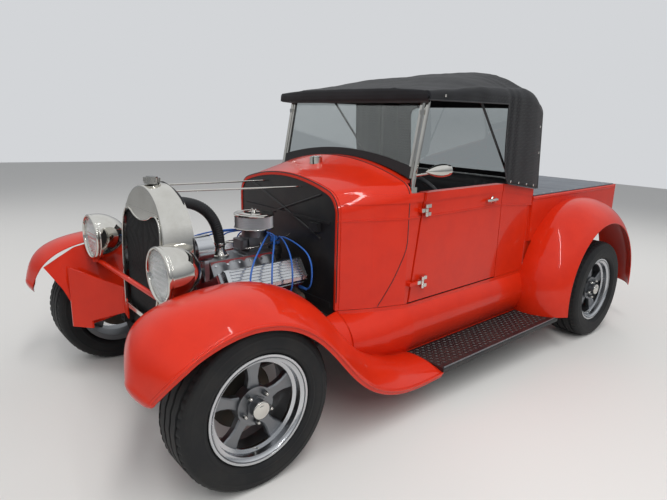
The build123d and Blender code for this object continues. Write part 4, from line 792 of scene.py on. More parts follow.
@dataclass
class SoftTop:
    """Cloth top: one drawn sheet over the bows, the back panel with its window, snaps, bows and welts.

    Args:
        rows: The roof's section at each station.
        valance: Height of the cloth's edge beside the header.
        flatness: Power of the roof's arc; a higher one keeps it flat further out.
        rake: Lean of the back, forwards for each millimetre of height.
        belt_front: Height of the curtain's foot at its front end.
        belt_rear: Height of its foot at the tail.
        curtain: Station of the curtain's front edge.
        window: Half width, lowest and highest height of the rear window.
        seam: How far out the roof's two seams lie.
    """

    rows: tuple[tuple[float, ...], ...] = (
        # station, half width, shoulder, crown, radius
        (1062.0, 588.0, 1458.0, 1474.0, 24.0),
        (1500.0, 596.0, 1492.0, 1560.0, 44.0),
        (1950.0, 594.0, 1498.0, 1614.0, 66.0),
        (2060.0, 590.0, 1492.0, 1590.0, 78.0),
        (2156.0, 574.0, 1440.0, 1486.0, 84.0),
    )
    valance: float = 1418.0
    flatness: float = 3.6
    rake: float = 0.085
    belt_front: float = 986.0
    belt_rear: float = 936.0
    curtain: float = 1724.0
    window: tuple[float, float, float] = (452.0, 1004.0, 1412.0)
    seam: float = 360.0

    def build(self) -> None:
        """Build the sheet, the back panel and what goes with them."""
        deck = self._deck()
        back = self._back()
        self._header()
        self._pane()
        self._snaps()
        bows = self._bows()
        self._trim()
        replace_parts(deck, "soft_top")
        for piece, size in ((deck, self._deck_size), (back, self._back_size)):
            thicken(piece, "cloth", 0.0022, -1.0)

    def _raked(self, y: Any, z: Any) -> Any:
        """Lean the rear forwards with height, growing from the curtain's front edge to the back.

        Args:
            y: Stations.
            z: Heights.

        Returns:
            The leaned stations.
        """
        share = np.clip((np.asarray(y) - 1830) / 320, 0, 1)
        return y - np.clip(np.asarray(z) - 960, 0, None) * self.rake * share

    def _section(self, stations: np.ndarray) -> np.ndarray:
        """Half width, shoulder, crown and radius at each station, rounded between the table's rows."""
        return smooth_rows(stations, np.array(self.rows), 46.0)

    def _belt(self, stations: Any) -> Any:
        """Height of the belt, where the cloth ends above the body's side and tail."""
        return np.interp(stations, [1785.0, 2122.0], [self.belt_front, self.belt_rear])

    def _edge(self, stations: np.ndarray) -> np.ndarray:
        """Height of the cloth's lower edge: the valance, then a hollow curve down to the belt."""
        share = np.clip((stations - self.curtain + 6) / 74, 0, 1)
        fall = np.sqrt(1 - (1 - share) ** 2) ** 0.62
        return self.valance + (self._belt(stations) - self.valance) * fall

    def _window_z(self) -> float:
        """Height of the window's middle."""
        return (self.window[1] + self.window[2]) / 2

    def _opening(self, way: np.ndarray, inset: float) -> np.ndarray:
        """Outline of the window, a superellipse of the tenth power.

        Args:
            way: Unit directions from the window's middle.
            inset: How far the line lies inside the window's own size.

        Returns:
            X and Z from the window's middle, one row for each direction.
        """
        half, low, high = self.window
        across = np.abs(way[:, 0] / (half - inset)) ** 10
        upward = np.abs(way[:, 1] / ((high - low) / 2 - inset)) ** 10
        return way * (1 / (across + upward) ** 0.1)[:, None]

    def _outline(self, section: np.ndarray, low: np.ndarray, count: int) -> np.ndarray:
        """Right-hand outline of each station from its lower edge over the shoulder to the crown.

        The side rises to where the shoulder's quarter turn starts, the turn is an ellipse, and the
        roof is a flat arc to the middle.

        Args:
            section: Half width, shoulder, crown and radius by station.
            low: Height of the lower edge by station.
            count: Points on each of the three stretches.

        Returns:
            X and Z by station and point.
        """
        half, shoulder, crown, radius = section.T[:, :, None]
        t = np.linspace(0, 1, count)[None]
        side_top = shoulder - radius * 0.92
        side_low = np.minimum(low[:, None], side_top - 2)
        side = np.stack([half * np.ones_like(t), side_low + (side_top - side_low) * t], axis=-1)
        angle = t * math.pi / 2
        roof_z = shoulder + (crown - shoulder) * 0.12
        lift = side_top + (roof_z - side_top) * np.sin(angle)
        turn = np.stack([half - radius * (1 - np.cos(angle)), lift], axis=-1)
        reach = (half - radius) * (1 - t)
        fall = (crown - roof_z) * (reach / (half - radius)) ** self.flatness
        roof = np.stack([reach, crown - fall], axis=-1)
        return np.concatenate([side[:, :-1], turn[:, :-1], roof], axis=1)

    def _deck(self) -> bpy.types.Object:
        """Roof and quarters: the outline carried along the stations, sagging between the bows."""
        stations = np.unique(np.concatenate([np.linspace(1066, 2150, 110), np.linspace(1712, 1800, 46)]))
        section, low = self._section(stations), self._edge(stations)
        right = self._outline(section, low, 26)
        x, z = right[..., 0], right[..., 1]
        y = np.repeat(stations[:, None], x.shape[1], axis=1)
        bow = np.abs(np.interp(stations, [1062, 1500, 1960, 2156], [0, math.pi, math.tau, 2.6 * math.pi]))
        sag = 5.0 * np.sin(bow)[:, None] ** 2 * np.clip((z - 1440) / 90, 0, 1)
        pull = np.sin(x * 0.055 + y * 0.024) * 0.9 + np.sin(x * 0.021 - y * 0.041 + 1.3) * 0.8
        pull += np.sin(y * 0.09 + x * 0.02) * 1.3 * np.exp(-((y - 1766) / 70) ** 2)
        z = z - sag + pull * np.clip((z - 1000) / 80, 0, 1) * 0.8
        x = x + pull * 0.9 * np.clip((1500 - z) / 60, 0, 1) * np.clip((z - 960) / 60, 0, 1)
        beside = np.abs(x - self.seam)
        z = z + (z > 1440) * (1.5 * (beside < 9) + 1.2 * (beside < 3))
        y = self._raked(y + np.where(z < 1420, (1420 - z) * 0.012, 0), z)
        grid = np.stack([x, y, z], axis=-1)
        full = np.concatenate([grid, mirrored(grid[:, ::-1])[:, 1:]], axis=1)
        piece = Sheaf().grid(tipped(full)).build("top_deck", "top_fabric", sharp=70)
        girth = np.linalg.norm(np.diff(full[-1], axis=0), axis=-1).sum()
        self._deck_size = (girth * MM, (2150 - 1066) * MM * 1.02)
        return piece

    def _back(self) -> bpy.types.Object:
        """Back panel below the rear bow, cut open for the window, with a slight belly."""
        station, foot_z = np.array([2150.0]), self.belt_rear
        outline = both_sides(self._outline(self._section(station), self._edge(station), 26)[0])
        middle = np.array([0.0, self._window_z()])
        half = outline[:, 0].max() - 6
        foot = np.column_stack([np.linspace(-half, half, 60), np.full(60, foot_z)])
        rim = np.vstack([outline[outline[:, 1] > foot_z + 4], foot])
        angle = np.arctan2(rim[:, 1] - middle[1], rim[:, 0])
        order = np.argsort(angle)
        rim, angle = rim[order], angle[order]
        hole = middle + self._opening(np.column_stack([np.cos(angle), np.sin(angle)]), 6)
        t = np.linspace(0, 1, 18)[:, None, None]
        flat = hole[None] * (1 - t) + rim[None] * t
        belly = 5 * np.sin(t[..., 0] * math.pi) * np.cos(flat[..., 0] / 600)
        points = np.stack([flat[..., 0], self._raked(2151.5, flat[..., 1]) + belly, flat[..., 1]], axis=-1)
        self._back_size = (2 * rim[:, 0].max() * MM, (rim[:, 1].max() - rim[:, 1].min()) * MM)
        panel = Sheaf().grid(tipped(points), ring=True)
        return panel.build("top_back_panel", "top_fabric", sharp=70)

    def _header(self) -> None:
        """Cloth-covered header rail: a rolled front edge that turns under to the windscreen's top."""
        section = self._section(np.array([1066.0]))
        outline = both_sides(self._outline(section, np.array([self.valance]), 26)[0])
        outline = outline[outline[:, 1] > 1436]
        x, z = outline.T
        level = np.ones_like(z)
        rows = [(x, 1066.0, z), (x * 0.99, 1062.5, z - 5.0), (x * 0.99, 1060.0, z - 14.0)]
        rows += [(x * share, y, level * high) for share, y, high in (
            (0.99, 1060.0, 1430.0), (0.99, 1063.0, 1420.0), (0.99, 1072.0, 1412.0), (0.93, 1104.0, 1407.0),
            (0.93, 1126.0, 1406.0))]
        rows.append((x * 0.93, 1130.0, z - 12))
        rings = [np.column_stack([across, level * y, high]) for across, y, high in rows + rows[:1]]
        Sheaf().grid(tipped(np.stack(rings))).build("top_header", "top_fabric", sharp=70)

    def _pane(self) -> None:
        """Clear rear window in its opening, with the same lean as the cloth."""
        turn = np.linspace(0, math.tau, 120, endpoint=False)
        edge = self._opening(np.column_stack([np.cos(turn), np.sin(turn)]), 3)
        share = np.linspace(0, 1, 16)[:, None]
        x, z = share * edge[:, 0], self._window_z() + share * edge[:, 1]
        y = self._raked(2153.0, z)
        face, back = np.stack([x, y, z], axis=-1), np.stack([x, y - 1.6, z], axis=-1)[::-1]
        pane = Sheaf().grid(tipped(np.vstack([face, back])), ring=True)
        pane.build("top_rear_pane", "glass", sharp=40)

    def _snaps(self) -> None:
        """Plated snaps along the curtain's foot and the header's ends."""
        snaps = Sheaf()
        cap = [(-1.0, 0), (-1.0, 6.5), (1.4, 6.5), (2.8, 5.0), (3.4, 0)]
        places = [(y, float(self._belt(y)) + 16) for y in (1812.0, 1900.0, 1990.0, 2080.0)]
        places += [(1180.0, 1440.0), (2124.0, 1300.0), (2130.0, 1150.0)]
        for side in (1, -1):
            for y, z in places:
                x = float(self._section(np.array([y]))[0, 0] + 0.6) * side
                snaps.lathe(cap, (x, float(self._raked(y, z)), z), (side, 0, 0), 16)
        snaps.tip().build("top_snaps", "chrome")

    def _bows(self) -> bpy.types.Object:
        """Two bent bows under the cloth, and on each side the rail and the post that they fold on."""
        sheaf = Sheaf()
        drop = 22.0
        for station, low in ((1500.0, 1420.0), (1958.0, 1010.0)):
            section = self._section(np.array([station])) - (drop, drop, drop, 0)
            full = both_sides(self._outline(section, np.array([low]), 14)[0])
            path = np.column_stack([full[:, 0], self._raked(station, full[:, 1]), full[:, 1]])
            sheaf.tube(tipped(path), 9 * MM, 10)
        rail = np.array([(574, 1958, 1440), (572, 1800, 1432), (560, 1082, 1426)])
        post = np.array([(572, 1500, 1420), (556, 1860, 1000), (552, 1868, 960)])
        for side in (1, -1):
            sheaf.tube(tipped(rail * (side, 1, 1)), 8 * MM, 10, 0.6)
            sheaf.tube(tipped(post * (side, 1, 1)), 8 * MM, 10, 0.6)
        return sheaf.build("top_bows", "frame_black")

    def _trim(self) -> None:
        """Welts: along the header, down each edge, over the rear bow and round the window."""
        sheaf = Sheaf()
        stations = np.unique(np.concatenate([np.linspace(1066, 2150, 70), np.linspace(1712, 1800, 40)]))
        half, low = self._section(stations)[:, 0], self._edge(stations)
        back = self._raked(stations + np.clip((1420 - low) * 0.012, 0, 9), low)
        edge = np.column_stack([half + 0.6, back, low])
        station = np.array([2150.0])
        rear = both_sides(self._outline(self._section(station), self._edge(station), 18)[0])
        sheaf.tube(tipped(edge), 3.2 * MM, 8)
        sheaf.tube(tipped(mirrored(edge)), 3.2 * MM, 8)
        x, z = rear.T
        sheaf.tube(tipped(np.column_stack([x, self._raked(2151.0, z), z])), 3.6 * MM, 8)
        turn = np.linspace(0, math.tau, 97)
        x, z = self._opening(np.column_stack([np.cos(turn), np.sin(turn)]), 2).T
        z = self._window_z() + z
        sheaf.tube(tipped(np.column_stack([x, self._raked(2154.5, z), z])), 5 * MM, 8, 0.6)
        sheaf.build("top_welts", "top_fabric", "binding", sharp=60)


@dataclass
class BedCover:
    """Vinyl cover drawn over the bed, with its hem, snaps and lengthwise seams."""

    half: float = 562.0
    front: float = 2142.0
    back: float = 3286.0
    top: float = 888.6

    def build(self) -> None:
        """Build the sheet, its hem and its snaps."""
        x = np.linspace(-self.half, self.half, 110)
        y = np.linspace(self.front, self.back, 110)
        across, along = np.meshgrid(x, y)
        inside = np.clip((self.half - np.abs(across)) / 60, 0, 1) * np.clip(
            np.minimum(along - self.front, self.back - along) / 60, 0, 1)
        share = (along - self.front) / (self.back - self.front)
        crown = 3.0 * np.abs(np.sin(share * 3 * math.pi)) ** 0.8
        ripple = 0.7 * np.sin(across * 0.03 + along * 0.011) + 0.5 * np.sin(across * 0.013 - along * 0.04)
        pulls = 0.9 * np.cos(along * math.tau / 108.0) * np.exp(-(self.half - np.abs(across)) / 40)
        seam = 0.8 * (np.abs(np.abs(across) - 190) < 7)
        z = self.top + 1.4 + inside * (crown + ripple) + np.clip(pulls, -0.8, 1) + seam
        vinyl = Sheaf().grid(tipped(np.stack([across, along, z], axis=-1)))
        sheet = vinyl.build("bed_cover", "vinyl", "cover_vinyl")
        hem = Sheaf()
        corners = [(-self.half, self.front), (self.half, self.front), (self.half, self.back),
                   (-self.half, self.back), (-self.half, self.front)]
        for (x0, y0), (x1, y1) in zip(corners, corners[1:]):
            run = np.linspace(0, 1, 24)[:, None]
            path = np.column_stack([x0 + (x1 - x0) * run, y0 + (y1 - y0) * run, np.full(24, self.top)])
            hem.tube(tipped(path), 3.0 * MM, 8)
        edging = hem.build("bed_cover_hem", "vinyl", "cover_vinyl")
        snaps = Sheaf()
        steps = np.arange(self.front + 40, self.back - 10, 108.0)
        places = [(side * (self.half - 14), step) for side in (-1, 1) for step in steps]
        row = np.arange(-486.0, 487.0, 108.0)
        places += [(step, end) for end in (self.front + 14, self.back - 14) for step in row]
        cap = [(-1.5, 0), (-1.5, 6.5), (1.0, 6.5), (2.4, 5.0), (3.0, 0)]
        for px, py in places:
            snaps.lathe(cap, (px, py, self.top + 1.8), (0, 0, 1), 14)
        buttons = snaps.tip().build("bed_cover_snaps", "chrome")
        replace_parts(sheet, "tonneau")
        thicken(sheet, "cloth", 0.0018, -1.0)


@dataclass
class Bench:
    """Bench seat: a crowned, channelled cushion and back on a plain box riser."""

    half: float = 494.0
    channels: int = 16

    def build(self) -> None:
        """Build the cushion, the back and the riser."""
        lower = self._pad("seat_cushion", (0, 1692, 545), (self.half, 236, 74), 2)
        upper = self._pad("seat_back", (0, 2010, 775), (self.half, 58, 222), 1)
        riser = Sheaf()
        outline = np.array([(-480, 1478), (480, 1478), (480, 2060), (-480, 2060)], dtype=float)
        levels = [(406, 0.0), (406, 1.0), (486, 1.0), (486, 0.0)]
        middle = outline.mean(axis=0)
        rows = [np.column_stack([middle + (outline - middle) * share, np.full(4, level)])
                for level, share in levels]
        riser.grid(tipped(np.stack(rows)), ring=True).build("seat_riser", "vinyl")
        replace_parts(lower, "seat")

    def _pad(self, name: str, middle: tuple[float, ...], reach: tuple[float, ...],
             thin: int) -> bpy.types.Object:
        """Closed pad: a rounded block whose face swells between sewn channels.

        The block is a superellipsoid, x = a·c(u)c(v), with c a signed power of the cosine; its thin
        side then swells by the channels' rounded ridges, most at the middle and none at the edge.

        Args:
            name: The piece's name.
            middle: Centre in body millimetres.
            reach: Half sizes.
            thin: Axis of the thickness, 1 or 2.

        Returns:
            The pad.
        """
        u = np.linspace(-math.pi / 2, math.pi / 2, 60)[:, None]
        v = np.linspace(-math.pi, math.pi, 360, endpoint=False)[None]
        flat, pole = 0.16, 0.42
        cu, su = np.abs(np.cos(u)) ** pole, np.sign(np.sin(u)) * np.abs(np.sin(u)) ** pole
        cv = np.sign(np.cos(v)) * np.abs(np.cos(v)) ** flat
        sv = np.sign(np.sin(v)) * np.abs(np.sin(v)) ** flat
        x, wide, tall = cu * cv, cu * sv, su * np.ones_like(v)
        edge = np.clip(1 - np.maximum(np.abs(x), np.abs(wide)) ** 8, 0, 1)
        ridge = np.abs(np.sin(x * self.channels * math.pi / 2)) ** 0.5
        swell = edge * (0.8 + 0.13 * ridge + 0.07 * (1 - wide ** 2)) + (1 - edge) * 0.8
        tall = tall * swell
        pinch = 1 - 0.012 * np.cos(x * math.pi / 2) * np.abs(wide) ** 6
        axes = [x, wide * pinch, tall] if thin == 2 else [x, tall, wide * pinch]
        points = np.stack(axes, axis=-1) * reach + middle
        return Sheaf().grid(tipped(points), ring=True).build(name, "vinyl", sharp=80)


@dataclass
class Boards:
    """Raised tread bars on the running boards and the bright strip along their edge."""

    inner: float = 576.0
    outer: float = 800.0
    front: float = 1050.0
    back: float = 2130.0
    top: float = 168.0
    pitch: float = 22.0

    def build(self) -> None:
        """Build the bars and the strips."""
        shape = np.array([(-9.5, 0, 0), (0, -2.6, 0), (9.5, 0, 0), (0, 2.6, 0), (-6.0, 0, 2.0),
                          (0, -1.2, 2.3), (6.0, 0, 2.0), (0, 1.2, 2.3)])
        faces = np.array([(0, 1, 5, 4), (1, 2, 6, 5), (2, 3, 7, 6), (3, 0, 4, 7), (4, 5, 6, 7), (0, 3, 2, 1)])
        x = np.arange(self.inner + 12, self.outer - 22, self.pitch)
        y = np.arange(self.front, self.back, self.pitch)
        across, along = np.meshgrid(x, y)
        odd = (np.arange(across.size).reshape(across.shape) + np.arange(len(y))[:, None] * (len(x) + 1)) % 2
        places = np.stack([across.ravel(), along.ravel(), np.full(across.size, self.top - 0.2)], axis=-1)
        angle = np.where(odd.ravel() == 0, math.pi / 4, -math.pi / 4)
        turns = np.zeros((len(angle), 3, 3))
        turns[:, 0, 0] = turns[:, 1, 1] = np.cos(angle)
        turns[:, 0, 1], turns[:, 1, 0], turns[:, 2, 2] = -np.sin(angle), np.sin(angle), 1
        bars, strips = Sheaf(), Sheaf()
        for side in (1, -1):
            bars.stamped(shape, faces, places * (side, 1, 1), turns)
            run = np.linspace(self.front - 8, self.back - 4, 40)
            path = np.column_stack([np.full(40, (self.outer + 1.5) * side), run, np.full(40, self.top - 1.5)])
            strips.tube(path, 4.5, 10, 0.7)
        bars.tip().build("board_tread", "tread_black", "tread_crest", sharp=20)
        strips.tip().build("board_strips", "tread_black", "tread_edge", sharp=20)


@dataclass
class EngineDress:
    """Small parts on the engine: cleaner screen, cover nuts, belt, carburettor fittings, leads and clamps."""

    front: float = 150.0
    back: float = 610.0
    air_y: float = 486.0
    cleaner_low: float = 781.6
    spark_y: float = 600.0
    leads_out: float = 345.0
    plug_x: float = 247.0

    def build(self) -> None:
        """Build every small part."""
        self._cleaner()
        self._fasteners()
        self._belt()
        self._fuel()
        self._leads()
        self._hose()
        self._manifold()

    def _cleaner(self) -> None:
        """Plated pan, tall pleated screen, flat lid with a rolled rim, and its wing nut."""
        turn = np.linspace(0, math.tau, 240, endpoint=False)
        pleat = 92.0 + 2.6 * (np.arange(240) % 2)
        low, high = self.cleaner_low + 9.0, self.cleaner_low + 73.0
        neck = np.full(240, 84.0)
        levels = [(neck, low - 3), (pleat, low)]
        levels += [(pleat + 0.9 * (step % 2), low + (high - low) * step / 16) for step in range(1, 16)]
        levels += [(pleat, high), (neck, high + 3)]
        rows = [np.stack([reach * np.cos(turn), self.air_y + reach * np.sin(turn), np.full(240, z)], axis=-1)
                for reach, z in levels]
        screen = Sheaf().grid(tipped(np.stack(rows)), ring=True)
        screen.build("cleaner_screen", "cast_alloy", "filter_mesh", sharp=10)
        pan = [(0.4, 0), (0.4, 58), (2, 70), (6, 94), (7, 98), (10, 99), (12, 97.6), (11, 94), (8, 90),
               (8, 0)]
        lid = [(71, 0), (71, 92), (70, 96.4), (71, 99), (74, 99.6), (79, 98.6), (81.6, 95), (82.0, 88),
               (80.4, 84), (80.8, 60), (83.0, 55), (83.0, 40), (81.2, 36), (82.4, 12), (90, 10.5),
               (92.5, 8), (93.4, 0)]
        foot = np.array((0, self.air_y, self.cleaner_low))
        sheaf = Sheaf().lathe(lid, foot, (0, 0, 1), 96).lathe(pan, foot, (0, 0, 1), 96)
        for side in (1, -1):
            wing = foot + [(0, 0, 91), (10 * side, 0, 94), (18 * side, 0, 99)]
            sheaf.tube(wing, [3.5, 3.2, 4.2], 12, 0.55)
        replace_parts(sheaf.tip().build("cleaner_lid_and_pan", "chrome", sharp=40), "air_cleaner")

    def _fasteners(self) -> None:
        """Domed nuts along the valve covers, manifold bolts and the front cover's bolts."""
        along = np.linspace(self.front + 40, self.back - 40, 4)
        nuts, heads = Sheaf(), Sheaf()
        # The valve covers' tops fall outwards from x 196, z 640 to x 262, z 548.
        slope = math.atan2(548 - 640, 262 - 196)
        outward = np.array([-math.sin(slope), 0, math.cos(slope)])
        nut = [(0, 0), (0, 7), (2, 7), (2, 5), (7, 5), (10, 3), (11, 0)]
        spots = ((118, 345), (136, 400), (136, 452), (60, 280), (20, 280))
        for side in (1, -1):
            for y in along:
                for share in (0.02, 0.98):
                    foot = np.array([196 + 66 * share, y, 640 - 92 * share]) + outward * 10
                    nuts.lathe(nut, foot * (side, 1, 1), outward * (side, 1, 1), 14)
            places = [(88 * side, y, 648) for y in np.linspace(self.front + 70, self.spark_y - 70, 6)]
            heads.stamped(*hex_head(7, 6), np.array(places), turns_to(np.array([(0.9 * side, 0, 0.75)] * 6)))
            places = [(x * side, self.front - 1.0, z) for x, z in spots]
            heads.stamped(*hex_head(7, 6), np.array(places), turns_to(np.array([(0.0, -1.0, 0.0)] * 5)))
        nuts.tip().build("cover_nuts", "chrome")
        heads.tip().build("engine_bolts", "polished_alloy")

    def _belt(self) -> None:
        """Vee belt round the crank, pump and alternator pulleys: the outside tangents' hull."""
        wheels = ((0.0, 400.0, 78.0), (0.0, 560.0, 70.0), (74.0, 742.0, 33.0))
        turn = np.linspace(0, math.tau, 240, endpoint=False)
        way = np.column_stack([np.cos(turn), np.sin(turn)])
        reach = np.stack([np.array([x, z]) @ way.T + r for x, z, r in wheels])
        pick = reach.argmax(axis=0)
        centres, radii = np.array([w[:2] for w in wheels]), np.array([w[2] for w in wheels])
        loop = centres[pick] + way * radii[pick][:, None]
        loop = np.vstack([loop, loop[:1]])
        y = self.front - 70.0
        section = [(-5.5, 3.0), (5.5, 3.0), (3.5, -4.5), (-3.5, -4.5)]
        out = np.vstack([way, way[:1]])
        rows = [np.insert(loop + out * up, 1, y + aside, axis=1) for aside, up in section]
        belt = Sheaf().grid(tipped(np.stack(rows, axis=1)), ring=True)
        belt.build("fan_belt", "rubber", "belt_rubber", sharp=30)

    def _fuel(self) -> None:
        """Fuel line from the frame up to the carburettor, the throttle link and the return spring."""
        bright = Sheaf()
        line = flow([(-150, 176, 470), (-156, 170, 560), (-150, 200, 690), (-96, 330, 716), (-60, 372, 716),
                     (-46, 396, 716)], 10)
        bright.tube(line, 4.5, 12)
        bright.lathe([(0, 0), (0, 17), (3, 19), (46, 19), (49, 17), (49, 0)], (-151, 186, 620),
                     (0.08, 0.12, 1), 28)
        link = [(62, 470, 709), (66, 540, 712), (60, 640, 730), (58, 662, 742)]
        bright.tube(flow(link, 10), 3.2, 10)
        bright.tube([(58, 476, 716), (76, 476, 726), (76, 476, 704)], 3.0, 8)
        coil = np.linspace(0, 22 * math.tau, 440)
        spring = np.column_stack([70 + 4 * np.cos(coil), 392 + coil * 0.55, 706 + 4 * np.sin(coil)])
        bright.tube(spring, 0.9, 6)
        bright.tip().build("carburettor_fittings", "chrome", sharp=60)

    def _leads(self) -> None:
        """Eight silicone leads from the cap's towers to the plugs, with their boots."""
        pitch = (self.back - self.front - 120) / 3
        plug_boot = [(0, 0), (0, 8), (26, 8.2), (30, 7.2), (52, 6.6), (58, 5.2), (58, 0)]
        cap_boot = [(-9, 0), (-9, 8.6), (8, 8.4), (12, 6.6), (22, 5.6), (24, 0)]
        cap_z, plug_z = 702.3, 524
        names, boots = [], Sheaf()
        for index in range(4):
            turn = math.radians(45 * index - 67.5)
            x, y = 28 * math.cos(turn), self.spark_y + 28 * math.sin(turn)
            port, top = self.front + 94 + pitch * index, 762 - 9 * index
            run = [(x, y, cap_z), (x, y, top), (self.leads_out - 150, (y + port) / 2, top - 6),
                   (self.leads_out, port, 690), (self.leads_out, port, plug_z),
                   (self.plug_x + 40, port, plug_z)]
            for side, word in ((1, "left"), (-1, "right")):
                route = tipped(np.array(run) * (side, 1, 1))
                names.append(self._lead(f"plug_lead_{word}_{index + 1}", route))
                boots.lathe(plug_boot, (self.plug_x * side, port, plug_z), (side, 0, 0), 16)
                boots.lathe(cap_boot, (x * side, y, cap_z), (0, 0, 1), 16)
        boots.tip().build("lead_boots", "lead_blue", "boot_rubber")
        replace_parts(names[0], "plug_leads")

    def _lead(self, name: str, route: np.ndarray) -> bpy.types.Object:
        """One lead on a smooth line through its route's control points.

        Args:
            name: The piece's name.
            route: Control points in metres.

        Returns:
            The lead.
        """
        lead = self._line(name, route, 12)
        curve = lead.data
        curve.bevel_depth = 0.004
        curve.bevel_resolution = 3
        curve.use_fill_caps = True
        bpy.context.collection.objects.link(lead)
        curve.materials.append(material("lead_blue"))
        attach(lead, "chassis")
        line = sampled(lead)
        return lead

    def _line(self, name: str, route: np.ndarray, resolution: int) -> bpy.types.Object:
        """A curve of one open NURBS spline whose control points are the route's.

        Args:
            name: The curve's name.
            route: Control points in metres.
            resolution: Steps between control points.

        Returns:
            The curve, not yet in the scene.
        """
        curve = bpy.data.curves.new(name, "CURVE")
        curve.dimensions = "3D"
        spline = curve.splines.new("NURBS")
        spline.points.add(len(route) - 1)
        spline.points.foreach_set("co", np.column_stack([route, np.ones(len(route))]).ravel())
        spline.order_u = 3
        spline.use_endpoint_u = True
        spline.resolution_u = resolution
        return bpy.data.objects.new(name, curve)

    def _hose(self) -> None:
        """Ribbed top hose on its route's NURBS line, with its clamps and the thermostat neck below it."""
        route = tipped(np.array([(0, 18.6, 950), (0, 286, 966), (0, 293, 717)]))
        path = sampled(self._line("hose_route", route, 64))
        run = np.concatenate([[0], np.cumsum(np.linalg.norm(np.diff(path, axis=0), axis=1))]) / MM
        steps = np.linspace(0, run[-1], 300)
        line = np.stack([np.interp(steps, run, column) for column in path.T], axis=-1)
        ends = np.clip(np.minimum(steps, run[-1] - steps) / 24 - 1.0, 0, 1)
        ribs = 0.9 + 1.1 * np.cos(steps * math.tau / 11.0)
        radius = 24.4 + ends * ribs * np.clip(steps / 90 - 1.2, 0.15, 1)
        hose = Sheaf().tube(line, radius * MM, 40).build("top_hose", "hose_black", sharp=80)
        clamps = Sheaf()
        band = [(-6, 23.6), (-6, 26.0), (-4.5, 26.7), (4.5, 26.7), (6, 26.0), (6, 23.6), (-6, 23.6)]
        for at, way in (((0, 34, 950), (0, 1, 0)), ((0, 293, 731), (0, 0, 1))):
            clamps.lathe(band, at, way, 48)
            away = np.array((0, 0, 28.0) if way[1] else (0, 28.0, 0))
            clamps.tube([np.array(at) + away + (14, 0, 0), np.array(at) + away - (12, 0, 0)], 4.2, 12)
        neck = [(0, 0), (0, 42), (9.6, 42), (11.6, 34), (31.6, 24), (47.6, 23), (47.6, 0)]
        clamps.lathe(neck, (0, 293, 668.6), (0, 0, 1), 48)
        clamps.tip().build("hose_clamps_and_neck", "chrome", sharp=40)
        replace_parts(hose, "radiator_hose")
        LOG.info("hose %.0f mm", run[-1])

    def _manifold(self) -> None:
        """Cast intake manifold: sloping sides with four runners, and a raised pad for the carburettor.

        The section is a trapezoid read at equal shares, and a squared sine swells its sides at each runner.
        """
        along = np.linspace(198.0, 550.0, 120)
        section = np.array([(-119.5, 589.0), (-119.5, 594.0), (-98.0, 630.0), (-78.5, 662.0), (-72.0, 669.6),
                            (72.0, 669.6), (78.5, 662.0), (98.0, 630.0), (119.5, 594.0), (119.5, 589.0)])
        reach = np.concatenate([[0], np.cumsum(np.linalg.norm(np.diff(section, axis=0), axis=1))])
        share = np.linspace(0, reach[-1], 72)
        x, z = np.interp(share, reach, section[:, 0]), np.interp(share, reach, section[:, 1])
        runner = np.sin((along - 198) / 352 * 4 * math.pi)[:, None] ** 2
        flank = np.clip(np.minimum(z - 596, 664 - z) / 14, 0, 1)
        wide, high = x * (1 + 0.075 * runner * flank), z + 4 * runner * flank
        grid = np.stack([wide, np.repeat(along[:, None], 72, axis=1), high], axis=-1)
        middle = np.array([0.0, 0.0, 630.0])
        ends = [np.broadcast_to(middle + (0, y, 0), grid[:1].shape) for y in (198.0, 550.0)]
        sheaf = Sheaf().grid(np.concatenate([ends[0], grid, ends[1]]), ring=True)
        sheaf.grid(slab((-66, 380, 664), (66, 566, 671.5), 2.5), ring=True)
        sheaf.tip().build("intake_manifold", "cast_alloy", sharp=50)


def sampled(curve: bpy.types.Object) -> np.ndarray:
    """Points along a curve's own spline, without its thickness.

    Args:
        curve: The curve object.

    Returns:
        Its points in order.
    """
    copy = curve.copy()
    copy.data = curve.data.copy()
    copy.data.bevel_depth = 0.0
    mesh = bpy.data.meshes.new_from_object(copy)
    points = np.empty(len(mesh.vertices) * 3)
    mesh.vertices.foreach_get("co", points)
    bpy.data.objects.remove(copy)
    bpy.data.meshes.remove(mesh)
    return points.reshape(-1, 3)


COWL_ROWS = (
    # station, half width, shoulder, crown, shoulder radius
    (668.0, 420.0, 972.0, 1048.0, 108.0),
    (830.0, 497.0, 996.0, 1082.0, 96.0),
    (1003.0, 560.0, 1018.0, 1130.0, 84.0),
    (1121.0, 560.0, 1018.0, 1130.0, 84.0),
)


def cowl_outline(station: float, low: float, grow: float = 0.0, count: int = 24) -> np.ndarray:
    """Cowl's outline across the body at a station, from its low right side over the crown to its low left.

    The roof is one circle through both shoulders and the crown, and a smaller circle that touches it
    and the upright side rounds each corner.

    Args:
        station: Distance back along the body.
        low: Height of both ends.
        grow: How far outside the panel the line runs.
        count: Points on each stretch.

    Returns:
        Points in body millimetres.
    """
    table = np.array(COWL_ROWS)
    half, shoulder, crown, corner = (np.interp(station, table[:, 0], column) for column in table[:, 1:].T)
    rise = crown - shoulder
    roof = (half ** 2 + rise ** 2) / (2 * rise)
    centre = crown - roof
    corner_x = half - corner
    corner_z = centre + math.sqrt((roof - corner) ** 2 - corner_x ** 2)
    lean = math.atan2(corner_z - centre, corner_x)
    side = np.column_stack([np.full(count, half + grow), np.linspace(low, corner_z, count)])
    turn = np.linspace(0, lean, count)[1:]
    bend = np.column_stack([corner_x + (corner + grow) * np.cos(turn),
                            corner_z + (corner + grow) * np.sin(turn)])
    turn = np.linspace(lean, math.pi / 2, count)[1:]
    top = np.column_stack([(roof + grow) * np.cos(turn), centre + (roof + grow) * np.sin(turn)])
    right = np.vstack([side, bend, top])
    return np.insert(both_sides(right), 1, station, axis=1)


